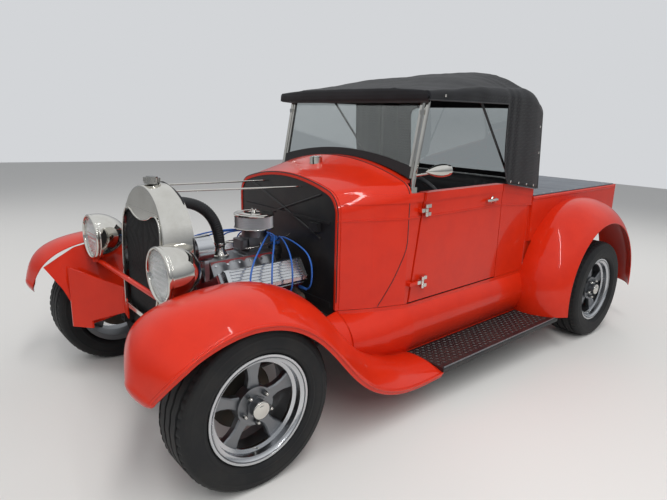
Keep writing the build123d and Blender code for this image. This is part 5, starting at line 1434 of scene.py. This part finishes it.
def slab(low: Any, high: Any, edge: float) -> np.ndarray:
    """Closed block with its edges bevelled, as a grid of rings from bottom to top.

    Args:
        low: Lowest corner.
        high: Highest corner.
        edge: Width of the bevels.

    Returns:
        Rings of eight points, the first and last closed on their middles.
    """
    low, high = np.asarray(low, dtype=float), np.asarray(high, dtype=float)
    middle, half = (low + high) / 2, (high - low) / 2
    rings = []
    for level, inset in ((-1, None), (-1, edge), (-1, 0.0), (1, 0.0), (1, edge), (1, None)):
        z = level * (half[2] - (edge if inset == 0.0 else 0.0))
        if inset is None:
            rings.append(np.tile((0.0, 0.0, z), (8, 1)))
            continue
        a, b = half[0] - inset, half[1] - inset
        c, d = max(a - edge, 0.01), max(b - edge, 0.01)
        corners = [(c, -b), (a, -d), (a, d), (c, b), (-c, b), (-a, d), (-a, -d), (-c, -b)]
        rings.append(np.insert(np.array(corners), 2, z, axis=1))
    return np.stack(rings) + middle


def on_screen(x: np.ndarray, up: Any, out: float) -> np.ndarray:
    """Place points on the leaned windscreen.

    Args:
        x: Distance across.
        up: Distance up the screen from its foot.
        out: Distance before its middle plane.

    Returns:
        Body points in millimetres.
    """
    sine, cosine = math.sin(SCREEN_LEAN), math.cos(SCREEN_LEAN)
    foot_y, foot_z = SCREEN_FOOT
    return np.stack([x, foot_y + up * sine - out * cosine, foot_z + up * cosine + out * sine], axis=-1)


@dataclass
class FrontFender:
    """One front fender: a crowned sheet with a rounded nose, on a bead-rolled lip with a narrow flange."""

    side: int
    rows: tuple[tuple[float, ...], ...] = (
        # lip y, lip z, lean forward, crest height, lip x, crest x, inner x, inner height
        (-370.0, 466.0, 44.0, 61.0, 770.0, 700.0, 620.0, 40.0),
        (-330.0, 545.0, 30.0, 84.0, 832.0, 706.0, 548.0, 66.0),
        (-205.0, 622.0, 14.0, 84.0, 850.0, 700.0, 520.0, 70.0),
        (-52.0, 650.0, 0.0, 74.0, 850.0, 690.0, 514.0, 62.0),
        (110.0, 618.0, -14.0, 92.0, 850.0, 680.0, 512.0, 84.0),
        (262.0, 514.0, -36.0, 112.0, 850.0, 680.0, 516.0, 104.0),
        (385.0, 375.0, -52.0, 112.0, 846.0, 690.0, 530.0, 108.0),
        (520.0, 248.0, -46.0, 104.0, 838.0, 700.0, 548.0, 102.0),
        (700.0, 162.0, -28.0, 84.0, 826.0, 704.0, 560.0, 84.0),
        (880.0, 134.0, -10.0, 54.0, 814.0, 704.0, 566.0, 54.0),
        (1034.0, 134.0, 0.0, 34.0, 808.0, 704.0, 568.0, 34.0),
    )
    nose: float = 30.0
    widest: float = 848.0

    def _read(self, stations: np.ndarray) -> np.ndarray:
        """Read the rows along the lip with a natural cubic spline through them.

        Each stretch is the straight blend of its rows plus the cubic terms of their second
        derivatives, which come from one tridiagonal system.

        Args:
            stations: Shares of the lip's length, from zero at the nose to one at the board.

        Returns:
            One row of the table's values for each station.
        """
        table = np.array(self.rows)
        knots = np.concatenate([[0], np.cumsum(np.linalg.norm(np.diff(table[:, :2], axis=0), axis=1))])
        gap = np.diff(knots)
        count = len(knots)
        system = np.eye(count)
        right = np.zeros_like(table)
        inner = np.arange(1, count - 1)
        system[inner, inner] = 2 * (gap[:-1] + gap[1:])
        system[inner, inner - 1], system[inner, inner + 1] = gap[:-1], gap[1:]
        slope = np.diff(table, axis=0) / gap[:, None]
        right[1:-1] = 6 * np.diff(slope, axis=0)
        bend = np.linalg.solve(system, right)
        at = np.clip(stations, 0, 1) * knots[-1]
        cell = np.clip(np.searchsorted(knots, at) - 1, 0, count - 2)
        g, u = gap[cell][:, None], ((at - knots[cell]) / gap[cell])[:, None]
        v = 1 - u
        cubic = ((v ** 3 - v) * bend[cell] + (u ** 3 - u) * bend[cell + 1]) * g ** 2 / 6
        return v * table[cell] + u * table[cell + 1] + cubic

    def build(self) -> bpy.types.Object:
        """Build the fender: for each station an arc from the inner edge to the lip, then bead and flange."""
        front = -np.cos(np.linspace(0, math.pi / 2, 16))
        read = self._read(np.concatenate([np.zeros(15), np.linspace(0, 1, 170)]))
        ahead = np.concatenate([front[:-1], np.zeros(170)])
        width = np.sqrt(np.clip(1 - ahead ** 2, 0.0004, 1))
        y, z, lean, crest, lip_x, crest_x, inner_x, inner = read.T
        lip_x = np.minimum(lip_x, self.widest)
        y, z = y + ahead * self.nose * 0.47, z + ahead * self.nose * 0.88
        middle = (lip_x + inner_x) / 2
        lip_x, inner_x, crest_x = (middle + (x - middle) * width for x in (lip_x, inner_x, crest_x))
        crest, inner = crest * width, inner * width
        t = np.linspace(0, 1, 60)[None]
        a, m, e = (np.stack(pair, axis=-1)[:, None] for pair in
                   ((inner_x, inner), (crest_x, crest), (lip_x - 4.0, 9.0 * width)))
        share = ((crest_x - inner_x) / (lip_x - 4.0 - inner_x))[:, None]
        sag = m[:, 0] - (a[:, 0] * (1 - share) + e[:, 0] * share)
        bulge = sag / (2 * share * (1 - share))
        tt = t[..., None]
        arc = (1 - tt) ** 2 * a + 2 * tt * (1 - tt) * ((a + e) / 2 + bulge[:, None]) + tt ** 2 * e
        turn = np.linspace(math.pi * 0.8, -math.pi * 0.62, 12)
        size = 4.2 * width[:, None]
        bead = np.stack([lip_x[:, None] - 4.4 + size * np.cos(turn),
                         8.0 * width[:, None] + size * np.sin(turn)], axis=-1)
        flange = np.stack([lip_x[:, None] - [[7.0, 6.6, 7.2]], width[:, None] * [[2.0, -9.0, -11.0]]],
                          axis=-1)
        line = np.concatenate([arc[:, :-1], bead, flange], axis=1)
        tilt = np.radians(lean)[:, None]
        points = np.stack([line[..., 0], y[:, None] - line[..., 1] * np.sin(tilt),
                           z[:, None] + line[..., 1] * np.cos(tilt)], axis=-1)
        word = "left" if self.side > 0 else "right"
        sheet = Sheaf().grid(tipped(points * (self.side, 1, 1)))
        piece = sheet.build(f"fender_front_{word}_sheet", "paint_red", sharp=50)
        thicken(piece, "steel", 0.0022, 0.0)
        return piece


@dataclass
class Trim:
    """Trim on the body: sheet fenders, seams, closing panels, beads, brow, screen, hinges and tail lamps."""

    seam: tuple[tuple[float, float], ...] = ((1003.0, 760.0), (1001.0, 716.0), (973.0, 640.0), (925.0, 530.0),
                                             (864.0, 434.0))
    hinge_y: float = 1102.0
    hinge_out: float = 586.0
    hinge_levels: tuple[float, float] = (900.0, 534.0)

    def build(self) -> None:
        """Build every piece of trim."""
        fenders = [FrontFender(side).build() for side in (1, -1)]
        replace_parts(fenders[0], "front_fenders")
        self._seams()
        self._valances()
        self._corners()
        self._beads()
        self._shell()
        self._brow()
        self._screen_foot()
        self._screen_pane()
        for side in (1, -1):
            self._hinges(side)
        self._tail()

    def _seams(self) -> None:
        """Black welt in the seam behind the cowl, and the webbing that the bonnet lies on."""
        hoop = cowl_outline(1003.0, 762.0, 0.6, 40)
        table = np.array(COWL_ROWS)
        down = flow([(y, z) for y, z in self.seam], 10)
        half = np.interp(down[:, 0], table[:, 0], table[:, 1]) + 0.6
        right = np.column_stack([half, down[:, 0], down[:, 1]])
        welt = Sheaf().tube(tipped(np.vstack([right[::-1][:-1], hoop, mirrored(right)[1:]])), 2.0 * MM, 8)
        welt.build("cowl_seam_welt", "rubber", "binding", sharp=60)
        ledge = cowl_outline(671.0, 470.0, 0.4, 40)
        web = Sheaf().tube(tipped(ledge), 5.0 * MM, 8, 0.35)
        web.build("cowl_lacing", "top_fabric", "binding", sharp=60)

    def _valances(self) -> None:
        """Painted panels that close the corner between fender, splash apron and firewall.

        Each is a surface of quadratic bends from the inner edge to the fender's edge, row by row.
        """
        rows = np.array([  # inner edge, a point on the bend and fender edge of each row
            ((501, 441, 417), (514, 448, 424), (529.5, 466, 431)),
            ((480, 500, 420), (508, 512, 408), (536.5, 528, 375)),
            ((452, 576, 425), (502, 584, 391), (546.5, 593, 315)),
            ((421.5, 673, 428), (514, 673, 373), (554.5, 675, 269)),
        ])
        inner, through, outer = rows[:, :1], rows[:, 1:2], rows[:, 2:]
        t = np.linspace(0, 1, 24)[None, :, None]
        pull = 2 * through - (inner + outer) / 2
        bend = (1 - t) ** 2 * inner + 2 * t * (1 - t) * pull + t ** 2 * outer
        along, knots = np.linspace(0, 1, 26), np.linspace(0, 1, len(rows))
        spread = np.apply_along_axis(lambda column: np.interp(along, knots, column), 0, bend)
        for side, word in ((1, "left"), (-1, "right")):
            sheet = Sheaf().grid(tipped(spread * (side, 1, 1)))
            thicken(sheet.build(f"valance_{word}", "paint_red", sharp=60), "steel", 0.0022, 0.0)

    def _corners(self) -> None:
        """Painted closing strips, set back in the joint between the cab's rear corner, bed and fender."""
        strips = Sheaf()
        upper, lower = ((551, 2115, 600), (554, 2142, 880)), ((546, 2115, 438), (549, 2215, 606))
        for side in (1, -1):
            for low, high in (upper, lower):
                strips.grid(tipped(slab(low, high, 0.8) * (side, 1, 1)), ring=True)
        strips.build("corner_strips", "paint_red", sharp=40)

    def _beads(self) -> None:
        """Rolled beads: along both rear fenders' lips, and the cowl's front edge."""
        sheaf = Sheaf()
        for side in (1, -1):
            turn = np.radians(np.linspace(-164, -372, 120) + 180)
            y, z = 2636.5 + 452 * np.cos(turn - math.pi), 252.1 + 452 * np.sin(turn - math.pi)
            rear = np.column_stack([np.full(120, 847.0 * side), y, z])
            keep = (rear[:, 2] > 172) & ((rear[:, 1] < 2636) | (rear[:, 2] > 208))
            sheaf.tube(rear[keep], 3.0, 10)
        sheaf.tube(cowl_outline(686.0, 440.0, 0.2, 40), 3.2, 8)
        sheaf.tip().build("rolled_beads", "paint_red", sharp=60)

    def _screen_foot(self) -> None:
        """Dark rubber seal over the windscreen's arched foot: a ring of six corners carried across it."""
        x = np.linspace(-511.6, 511.6, 80)
        share = (x / 512.0) ** 2
        low, high = 131.0 - 80.6 * share, 169.0 - 64.0 * share
        rim = high + 1.4
        corners = ((low, 10.0), (high, 10.0), (rim, 8.0), (rim, -8.0), (high, -10.0), (low, -10.0))
        ring = np.stack([on_screen(x, up, out) for up, out in corners], axis=1)
        seal = Sheaf().grid(tipped(capped(ring)), ring=True)
        seal.build("screen_foot_seal", "rubber", "belt_rubber", sharp=40)

    def _screen_pane(self) -> None:
        """Flat screen glass: columns that rise from the arched foot to the header, on both faces."""
        x = np.linspace(-497.6, 497.6, 60)
        foot, head = 168.4 - 64.0 * (x / 497.6) ** 2, 417.4
        corners = ((0, 2.8), (1, 2.8), (1, -2.8), (0, -2.8))
        ring = np.stack([on_screen(x, foot + (head - foot) * share, out) for share, out in corners], axis=1)
        sheaf = Sheaf().grid(tipped(ring), ring=True)
        for end in (0, -1):
            corner = ring[end]
            sheaf.grid(tipped(np.stack([corner[:2], corner[:1:-1]])))
        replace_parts(sheaf.build("screen_pane", "glass", sharp=30), "glass_panes")

    def _brow(self) -> None:
        """Plated brow with the opening's dipped upper edge, and the rolled bead all round the opening."""
        lean = math.tan(SHELL_LEAN)
        arch = [(0, 889), (60, 892), (120, 922), (172, 921)]
        right = np.vstack([flow(arch + [(206, 872), (209, 810)], 8),
                           flow([(209, 810), (204, 700), (186, 590), (163, 477)], 8)[1:]])
        loop = np.vstack([right, right[::-1] * (-1, 1), right[:1]])
        y = -112.2 + (loop[:, 1] - SHELL_FOOT) * lean
        bead = Sheaf().tube(tipped(np.column_stack([loop[:, 0], y, loop[:, 1]])), 4.0 * MM, 12)
        edge = flow(arch, 10)
        x, low = np.vstack([(edge * (-1, 1))[::-1], edge[1:]]).T
        high = np.full(len(x), 934.0)
        rows = [np.column_stack([x, out + (z - SHELL_FOOT) * lean, z])
                for z, out in ((low, -112.0), (high, -112.0), (high, -107.0), (low, -107.0))]
        bead.grid(tipped(capped(np.stack(rows, axis=1))), ring=True)
        bead.build("grille_brow", "chrome", sharp=40)

    def _shell(self) -> None:
        """Lacing strip round the shell's rear edge, and the black baffle that fills its opening."""
        right = np.vstack([flow([(250, 458), (272, 560), (277, 786)], 14),
                           flow([(277, 786), (272, 880), (182, 990)], 14)[1:],
                           flow([(182, 990), (120, 1028), (0, 1042)], 14)[1:]])
        lace = Sheaf().tube(tipped(np.insert(both_sides(right), 1, 27.0, axis=1)), 4.2 * MM, 10)
        lace.build("shell_lacing", "top_fabric", "binding", sharp=60)
        z = np.linspace(462.0, 932.0, 90)
        levels, widths = [462, 475, 560, 640, 740, 820, 888, 932], [166, 168, 182, 194, 205, 211, 204, 160]
        half = np.interp(z, levels, widths) + 2
        share = np.linspace(-1, 1, 200)
        x = half[:, None] * share
        louvre = 1.6 * np.sign(np.sin(x * math.tau / 11.0)) * (np.abs(share) < 0.97)
        lean = np.sin(SHELL_LEAN) * (z - SHELL_FOOT)[:, None]
        front = np.stack([x, -84.0 + lean * 0.6 - louvre, np.repeat(z[:, None], 200, axis=1)], axis=-1)
        baffle = Sheaf().grid(tipped(front)).build("core_screen", "core_black", sharp=30)
        thicken(baffle, "screen", 0.0016, -1.0)

    def _hinges(self, side: int) -> None:
        """Plated hinge leaves and knuckles, half on the post and half on the door, and the door's handle.

        Args:
            side: 1 for the left door, -1 for the right.
        """
        word = "left" if side > 0 else "right"
        post, door = Sheaf(), Sheaf()
        out, y = self.hinge_out, self.hinge_y
        middle_knuckle = [(-9.2, 0), (-9.2, 8.6), (-8.4, 9.6), (8.4, 9.6), (9.2, 8.6), (9.2, 0)]
        end_knuckle = [(-10.2, 0), (-10.2, 8.6), (-9, 9.6), (9, 9.6), (10.2, 8.6), (10.2, 0)]
        for level in self.hinge_levels:
            foot = 1111 - 81 * (984 - level) / 548 - 10
            post.lathe(middle_knuckle, (out, y, level), (0, 0, 1), 24)
            low, high = (out - 8.6, max(foot - 25, y - 34), level - 9.6), (out + 0.8, y, level + 9.6)
            post.grid(slab(low, high, 1.2), ring=True)
            for middle in (level - 20, level + 20):
                door.lathe(end_knuckle, (out, y, middle), (0, 0, 1), 24)
                low, high = (566.4, y + 2.6, middle - 10.5), (out + 0.6, y + 36.6, middle + 10.5)
                door.grid(slab(low, high, 2.0), ring=True)
        boss = [(0, 0), (0, 19), (3, 20), (6, 17), (16, 12), (22, 12), (22, 0)]
        door.lathe(boss, (566.2, 1693.0, 902.0), (1, 0, 0), 32)
        lever = flow([(585, 1708, 902), (586.5, 1690, 902), (586.5, 1650, 902), (584, 1612, 902)], 8)
        door.tube(lever, np.linspace(9.4, 8.9, len(lever)), 18)
        post.tip(side).build(f"hinge_posts_{word}", "chrome", sharp=35)
        door.tip(side).build(f"door_brightwork_{word}", "chrome", sharp=35, body=f"door_{word}")

    def _tail(self) -> None:
        """Plated rims round the tail lamps, with their lenses' rings."""
        rim = [(0, 0), (0, 44.6), (12, 45.4), (16.6, 44.8), (17.6, 42.4), (17.0, 40.4), (10, 40.4), (10, 0)]
        steps = enumerate(np.arange(39.0, 1.0, -3.0))
        dome = [(27.2 - 0.16 * (r / 8) ** 2 - 0.8 * (i % 2), r) for i, r in steps]
        lens = [(10.6, 0), (10.6, 39.6), *dome, (27.4, 0)]
        rims, lenses = Sheaf(), Sheaf()
        for side in (1, -1):
            at = (430.0 * side, 3284.0, 470.0)
            rims.lathe(rim, at, (0, 1, 0), 48)
            lenses.lathe(lens, at, (0, 1, 0), 48)
        rims.tip().build("tail_lamp_rims", "chrome", sharp=30)
        lenses.tip().build("tail_lamp_lenses", "lamp_red", sharp=30)


@dataclass
class Cabin:
    """What shows through the doors and the screen: wheel, dials, door cards, pedals, lever and carpet."""

    wheel_at: tuple[float, float, float] = (300.0, 1376.0, 884.0)
    column_foot: tuple[float, float, float] = (300.0, 760.0, 470.0)
    rim: float = 184.0

    def build(self) -> None:
        """Build the cabin's pieces."""
        self._wheel()
        self._dials()
        self._cards()
        self._floor()

    def _wheel(self) -> None:
        """Steering wheel: a rim with finger grips behind it, three flat spokes and a domed hub."""
        axis = np.array(self.wheel_at) - self.column_foot
        axis /= np.linalg.norm(axis)
        side = np.array((1.0, 0.0, 0.0))
        up = np.cross(axis, side)
        turn = np.linspace(0, math.tau, 192, endpoint=False)
        round_ = np.linspace(0, math.tau, 20, endpoint=False)
        thick = 13.0 + 0.7 * np.cos(turn * 32)[:, None] * (np.cos(round_) < -0.2)
        reach = self.rim + thick * np.cos(round_)
        height = thick * np.sin(round_)
        spoke = np.cos(turn)[:, None] * side + np.sin(turn)[:, None] * up
        rows = np.array(self.wheel_at) + reach[..., None] * spoke[:, None] + height[..., None] * axis
        closed = np.concatenate([rows, rows[:1]])
        grip = Sheaf().grid(tipped(closed), ring=True)
        rim = grip.build("steering_rim", "vinyl", sharp=60, body="steering_wheel")
        arms = Sheaf()
        for index in range(3):
            angle = math.radians(90 + 120 * index)
            way = math.cos(angle) * side + math.sin(angle) * up
            run = np.linspace(28, self.rim - 6, 14)[:, None]
            dish = 10 * np.sin((run - 28) / (self.rim - 34) * math.pi)
            path = np.array(self.wheel_at) + run * way - axis * dish
            arms.tube(path, np.linspace(15, 9.5, 14), 14, 0.3)
        hub = [(-14, 0), (-14, 31), (-10, 34), (4, 34), (8, 32), (10, 28), (16, 25), (19, 16), (20, 0)]
        arms.lathe(hub, self.wheel_at, axis, 48)
        arms.tip().build("steering_arms", "polished_alloy", sharp=40, body="steering_wheel")
        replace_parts(rim, "steering_wheel")

    def _dials(self) -> None:
        """Five dials on the dash: plated bezels, black faces, pale ticks and pointers."""
        rims, faces, marks = Sheaf(), Sheaf(), Sheaf()
        for x, radius in ((300.0, 44.0), (190.0, 38.0), (96.0, 26.0), (30.0, 26.0), (-36.0, 26.0)):
            at = np.array((x, 1017.4, 900.0))
            bezel = [(0, radius), (5, radius), (7, radius - 1.5), (6, radius - 5), (3, radius - 6),
                     (0, radius - 6), (0, radius)]
            rims.lathe(bezel, at, (0, 1, 0), 48)
            faces.lathe([(0, 0), (0, radius - 5.6), (2.2, radius - 5.6), (2.6, 4), (5, 3.6), (5, 0)], at,
                        (0, 1, 0), 40)
            for angle in np.radians(np.arange(-130, 131, 26)):
                way = np.array([math.sin(angle), 0, math.cos(angle)])
                marks.tube([at + (0, 3, 0) + way * (radius - reach) for reach in (13, 8)], 0.9, 6)
            marks.tube([at + (0, 4, 0), at + (-0.5 * radius, 4, 0.42 * radius)], [1.4, 0.5], 6)
        rims.tip().build("dial_bezels", "chrome", sharp=40)
        faces.tip().build("dial_faces", "wheel_black", sharp=40)
        marks.tip().build("dial_marks", "polished_alloy", "dial_white", sharp=40)

    def _cards(self) -> None:
        """Door cards in the doors' pockets, with upright pleats, and their winders and pulls."""
        for side, word in ((1, "left"), (-1, "right")):
            y, z = np.meshgrid(np.linspace(1196, 1716, 220), np.linspace(504, 856, 60))
            inside = np.minimum(np.minimum(y - 1196, 1716 - y), np.minimum(z - 504, 856 - z))
            edge = np.clip(inside / 14, 0, 1)
            below = np.clip((760 - z) / 12, 0, 1)
            pleat = 3.4 * np.abs(np.sin(y * math.pi / 65.0)) ** 0.6 * (z < 760) * below
            x = 536.5 - edge ** 0.5 * (3.6 + pleat)
            card = Sheaf().grid(tipped(np.stack([x * side, y, z], axis=-1)))
            card = card.build(f"door_card_{word}", "vinyl", sharp=70, body=f"door_{word}")
            thicken(card, "board", 0.002, -1.0 if side > 0 else 1.0)
            sheaf = Sheaf()
            sheaf.lathe([(0, 0), (0, 17), (3, 17), (6, 9), (9, 0)], (531, 1330, 800), (-1, 0, 0), 28)
            crank = flow([(526, 1330, 800), (521, 1352, 790), (519, 1386, 770), (519, 1398, 764)], 6)
            sheaf.tube(crank, [4.5] * 12 + [6.0], 10, 0.6)
            pull = flow([(532, 1480, 806), (520, 1484, 806), (519, 1560, 806), (532, 1566, 806)], 8)
            sheaf.tube(pull, 5.0, 10)
            sheaf.tip(side).build(f"door_winder_{word}", "chrome", sharp=50, body=f"door_{word}")

    def _floor(self) -> None:
        """Carpet, three pedals on their arms, and the gear lever in its boot."""
        plan = np.array([(-520, 1140), (520, 1140), (520, 1440), (-520, 1440)], dtype=float)
        middle = plan.mean(axis=0)
        rows = [np.column_stack([middle + (plan - middle) * share, np.full(4, level)])
                for level, share in ((405.0, 0.0), (405.0, 1.0), (411.0, 0.995), (411.0, 0.0))]
        carpet = Sheaf().grid(tipped(np.stack(rows)), ring=True)
        carpet.build("carpet", "top_fabric", "carpet", sharp=30)
        metal, pads = Sheaf(), Sheaf()
        for x, wide in ((228.0, 30.0), (340.0, 30.0), (416.0, 22.0)):
            metal.tube(flow([(x, 1080, 440), (x, 1096, 520), (x, 1116, 566), (x, 1128, 580)], 8), 6.0, 10)
            pads.grid(slab((x - wide, 1124, 556), (x + wide, 1136, 610), 3.0), ring=True)
        stick = flow([(0, 1250, 410), (0, 1262, 520), (0, 1300, 600), (0, 1312, 668)], 10)
        metal.tube(stick, np.linspace(7.5, 5.5, len(stick)), 14)
        knob = [(-4, 0), (-4, 7), (0, 14), (10, 22), (22, 25), (34, 22), (43, 12), (46, 0)]
        pads.lathe(knob, (0, 1311, 664), (0, 0.17, 1), 32)
        fold = [(0, 0), (0, 62), (6, 62), (14, 52), (24, 50), (30, 42), (42, 40), (50, 30), (64, 27),
                (74, 16), (82, 9), (82, 0)]
        pads.lathe(fold, (0, 1256, 406), (0, 0.06, 1), 40)
        metal.tip().build("pedal_arms_and_lever", "chrome", sharp=40)
        pads.tip().build("pedal_pads_and_boot", "rubber", sharp=40)


@dataclass
class Studio:
    """Pale floor, soft lamps, and the camera at the photograph's place."""

    camera_at: tuple[float, float, float] = (2.2395, -2.4032, 1.3146)
    turn: float = 48.765
    dip: float = 13.134
    roll: float = 2.49
    lens: float = 28.92
    floor_half: float = 14.0

    def build(self) -> None:
        """Build the stage."""
        self._floor()
        self._world()
        self._lamps()
        self._camera()

    def _floor(self) -> None:
        """Lay one pale square on the ground."""
        half = self.floor_half
        mesh = bpy.data.meshes.new("floor")
        corners = [(-half, -half, 0), (half, -half, 0), (half, half, 0), (-half, half, 0)]
        mesh.from_pydata(corners, [], [(0, 1, 2, 3)])
        floor = bpy.data.objects.new("floor", mesh)
        bpy.context.collection.objects.link(floor)
        mesh.materials.append(Finish("pale matt floor", "#dcdad6", 0.9).build())

    def _world(self) -> None:
        """Set the light of the sky, the pale wall that the camera sees, and the wall that gloss sees."""
        world = bpy.data.worlds.new("studio")
        bpy.context.scene.world = world
        world.use_nodes = True
        tree = world.node_tree
        shade = tree.nodes["Background"]
        shade.inputs["Color"].default_value = linear("#e4e8ee")
        shade.inputs["Strength"].default_value = 0.5
        shown = add(tree, "ShaderNodeBackground", {"Color": linear("#d3d5d8"), "Strength": 1.0})
        ray = add(tree, "ShaderNodeLightPath").outputs
        sight = add(tree, "ShaderNodeMath", {0: ray["Is Camera Ray"], 1: ray["Is Transmission Ray"]},
                    operation="MAXIMUM").outputs[0]
        seen = add(tree, "ShaderNodeMixShader",
                   {0: sight, 1: shade.outputs[0], 2: shown.outputs[0]}).outputs[0]
        # Gloss sees the same pale wall, dimmer at its foot and brighter overhead, as in a real studio.
        toward = add(tree, "ShaderNodeTexCoord").outputs["Generated"]
        rise = add(tree, "ShaderNodeSeparateXYZ", {"Vector": toward}).outputs["Z"]
        share = add(tree, "ShaderNodeMapRange", {"Value": rise, "From Min": 0.02, "From Max": 0.55})
        tones = {"Factor": share.outputs["Result"], MIX_FROM: linear("#8b8e92"), MIX_TO: linear("#eceef0")}
        wall = add(tree, "ShaderNodeMix", tones, data_type="RGBA").outputs[MIX_RESULT]
        gloss = add(tree, "ShaderNodeBackground", {"Color": wall, "Strength": 1.0}).outputs[0]
        mixed = add(tree, "ShaderNodeMixShader", {0: ray["Is Glossy Ray"], 1: seen, 2: gloss}).outputs[0]
        tree.links.new(mixed, tree.nodes["World Output"].inputs["Surface"])

    def _lamps(self) -> None:
        """Hang a key, a fill and a back lamp for the light, and a thin strip that draws the gloss lines."""
        for name, place, power, size, depth in (
            ("key", (3.4, -2.4, 5.2), 225.0, 0.9, 6.0),
            ("fill", (-4.4, -3.4, 3.6), 70.0, 5.0, 3.0),
            ("back", (0.5, 5.2, 4.6), 110.0, 5.0, 1.6),
            ("strip", (3.0, -1.2, 4.4), 40.0, 0.08, 6.0),
        ):
            data = bpy.data.lights.new(name, "AREA")
            data.energy = power
            data.shape = "RECTANGLE"
            data.size = size
            data.size_y = depth
            lamp = bpy.data.objects.new(name, data)
            lamp.visible_glossy = name == "strip"
            bpy.context.collection.objects.link(lamp)
            facing = Vector(place).to_track_quat("Z", "Y").to_matrix().to_4x4()
            lamp.matrix_world = Matrix.Translation(place) @ facing

    def _camera(self) -> None:
        """Set the camera from its turn, dip and roll."""
        turn, dip, roll = (math.radians(v) for v in (self.turn, self.dip, self.roll))
        back = Vector((math.sin(turn) * math.cos(dip), -math.cos(turn) * math.cos(dip), math.sin(dip)))
        right = (-back).cross(Vector((0, 0, 1))).normalized()
        up = right.cross(-back)
        side = math.cos(roll) * right + math.sin(roll) * up
        top = -math.sin(roll) * right + math.cos(roll) * up
        data = bpy.data.cameras.new("camera")
        data.lens = self.lens
        data.sensor_width = 36.0
        camera = bpy.data.objects.new("camera", data)
        bpy.context.collection.objects.link(camera)
        facing = Matrix((side, top, back)).transposed().to_4x4()
        camera.matrix_world = Matrix.Translation(self.camera_at) @ facing
        bpy.context.scene.camera = camera


def main() -> None:
    """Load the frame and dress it."""
    logging.basicConfig(level=logging.INFO, format="%(name)s %(message)s")
    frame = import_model()
    bpy.context.scene.view_settings.view_transform = "Standard"
    Body(frame).build()
    for side in ("left", "right"):
        RoadWheel(side, "front", axle_y=0.0, radius=314.0, tyre_width=195.0, rim_width=172.0,
                  lip_x=788.0).build()
        RoadWheel(side, "rear", axle_y=WHEELBASE, radius=321.0, tyre_width=235.0, rim_width=196.0,
                  lip_x=811.0).build()
    Headlamps().build()
    SoftTop().build()
    BedCover().build()
    Bench().build()
    Boards().build()
    EngineDress().build()
    Trim().build()
    Cabin().build()
    Studio().build()


if __name__ == "__main__":
    main()
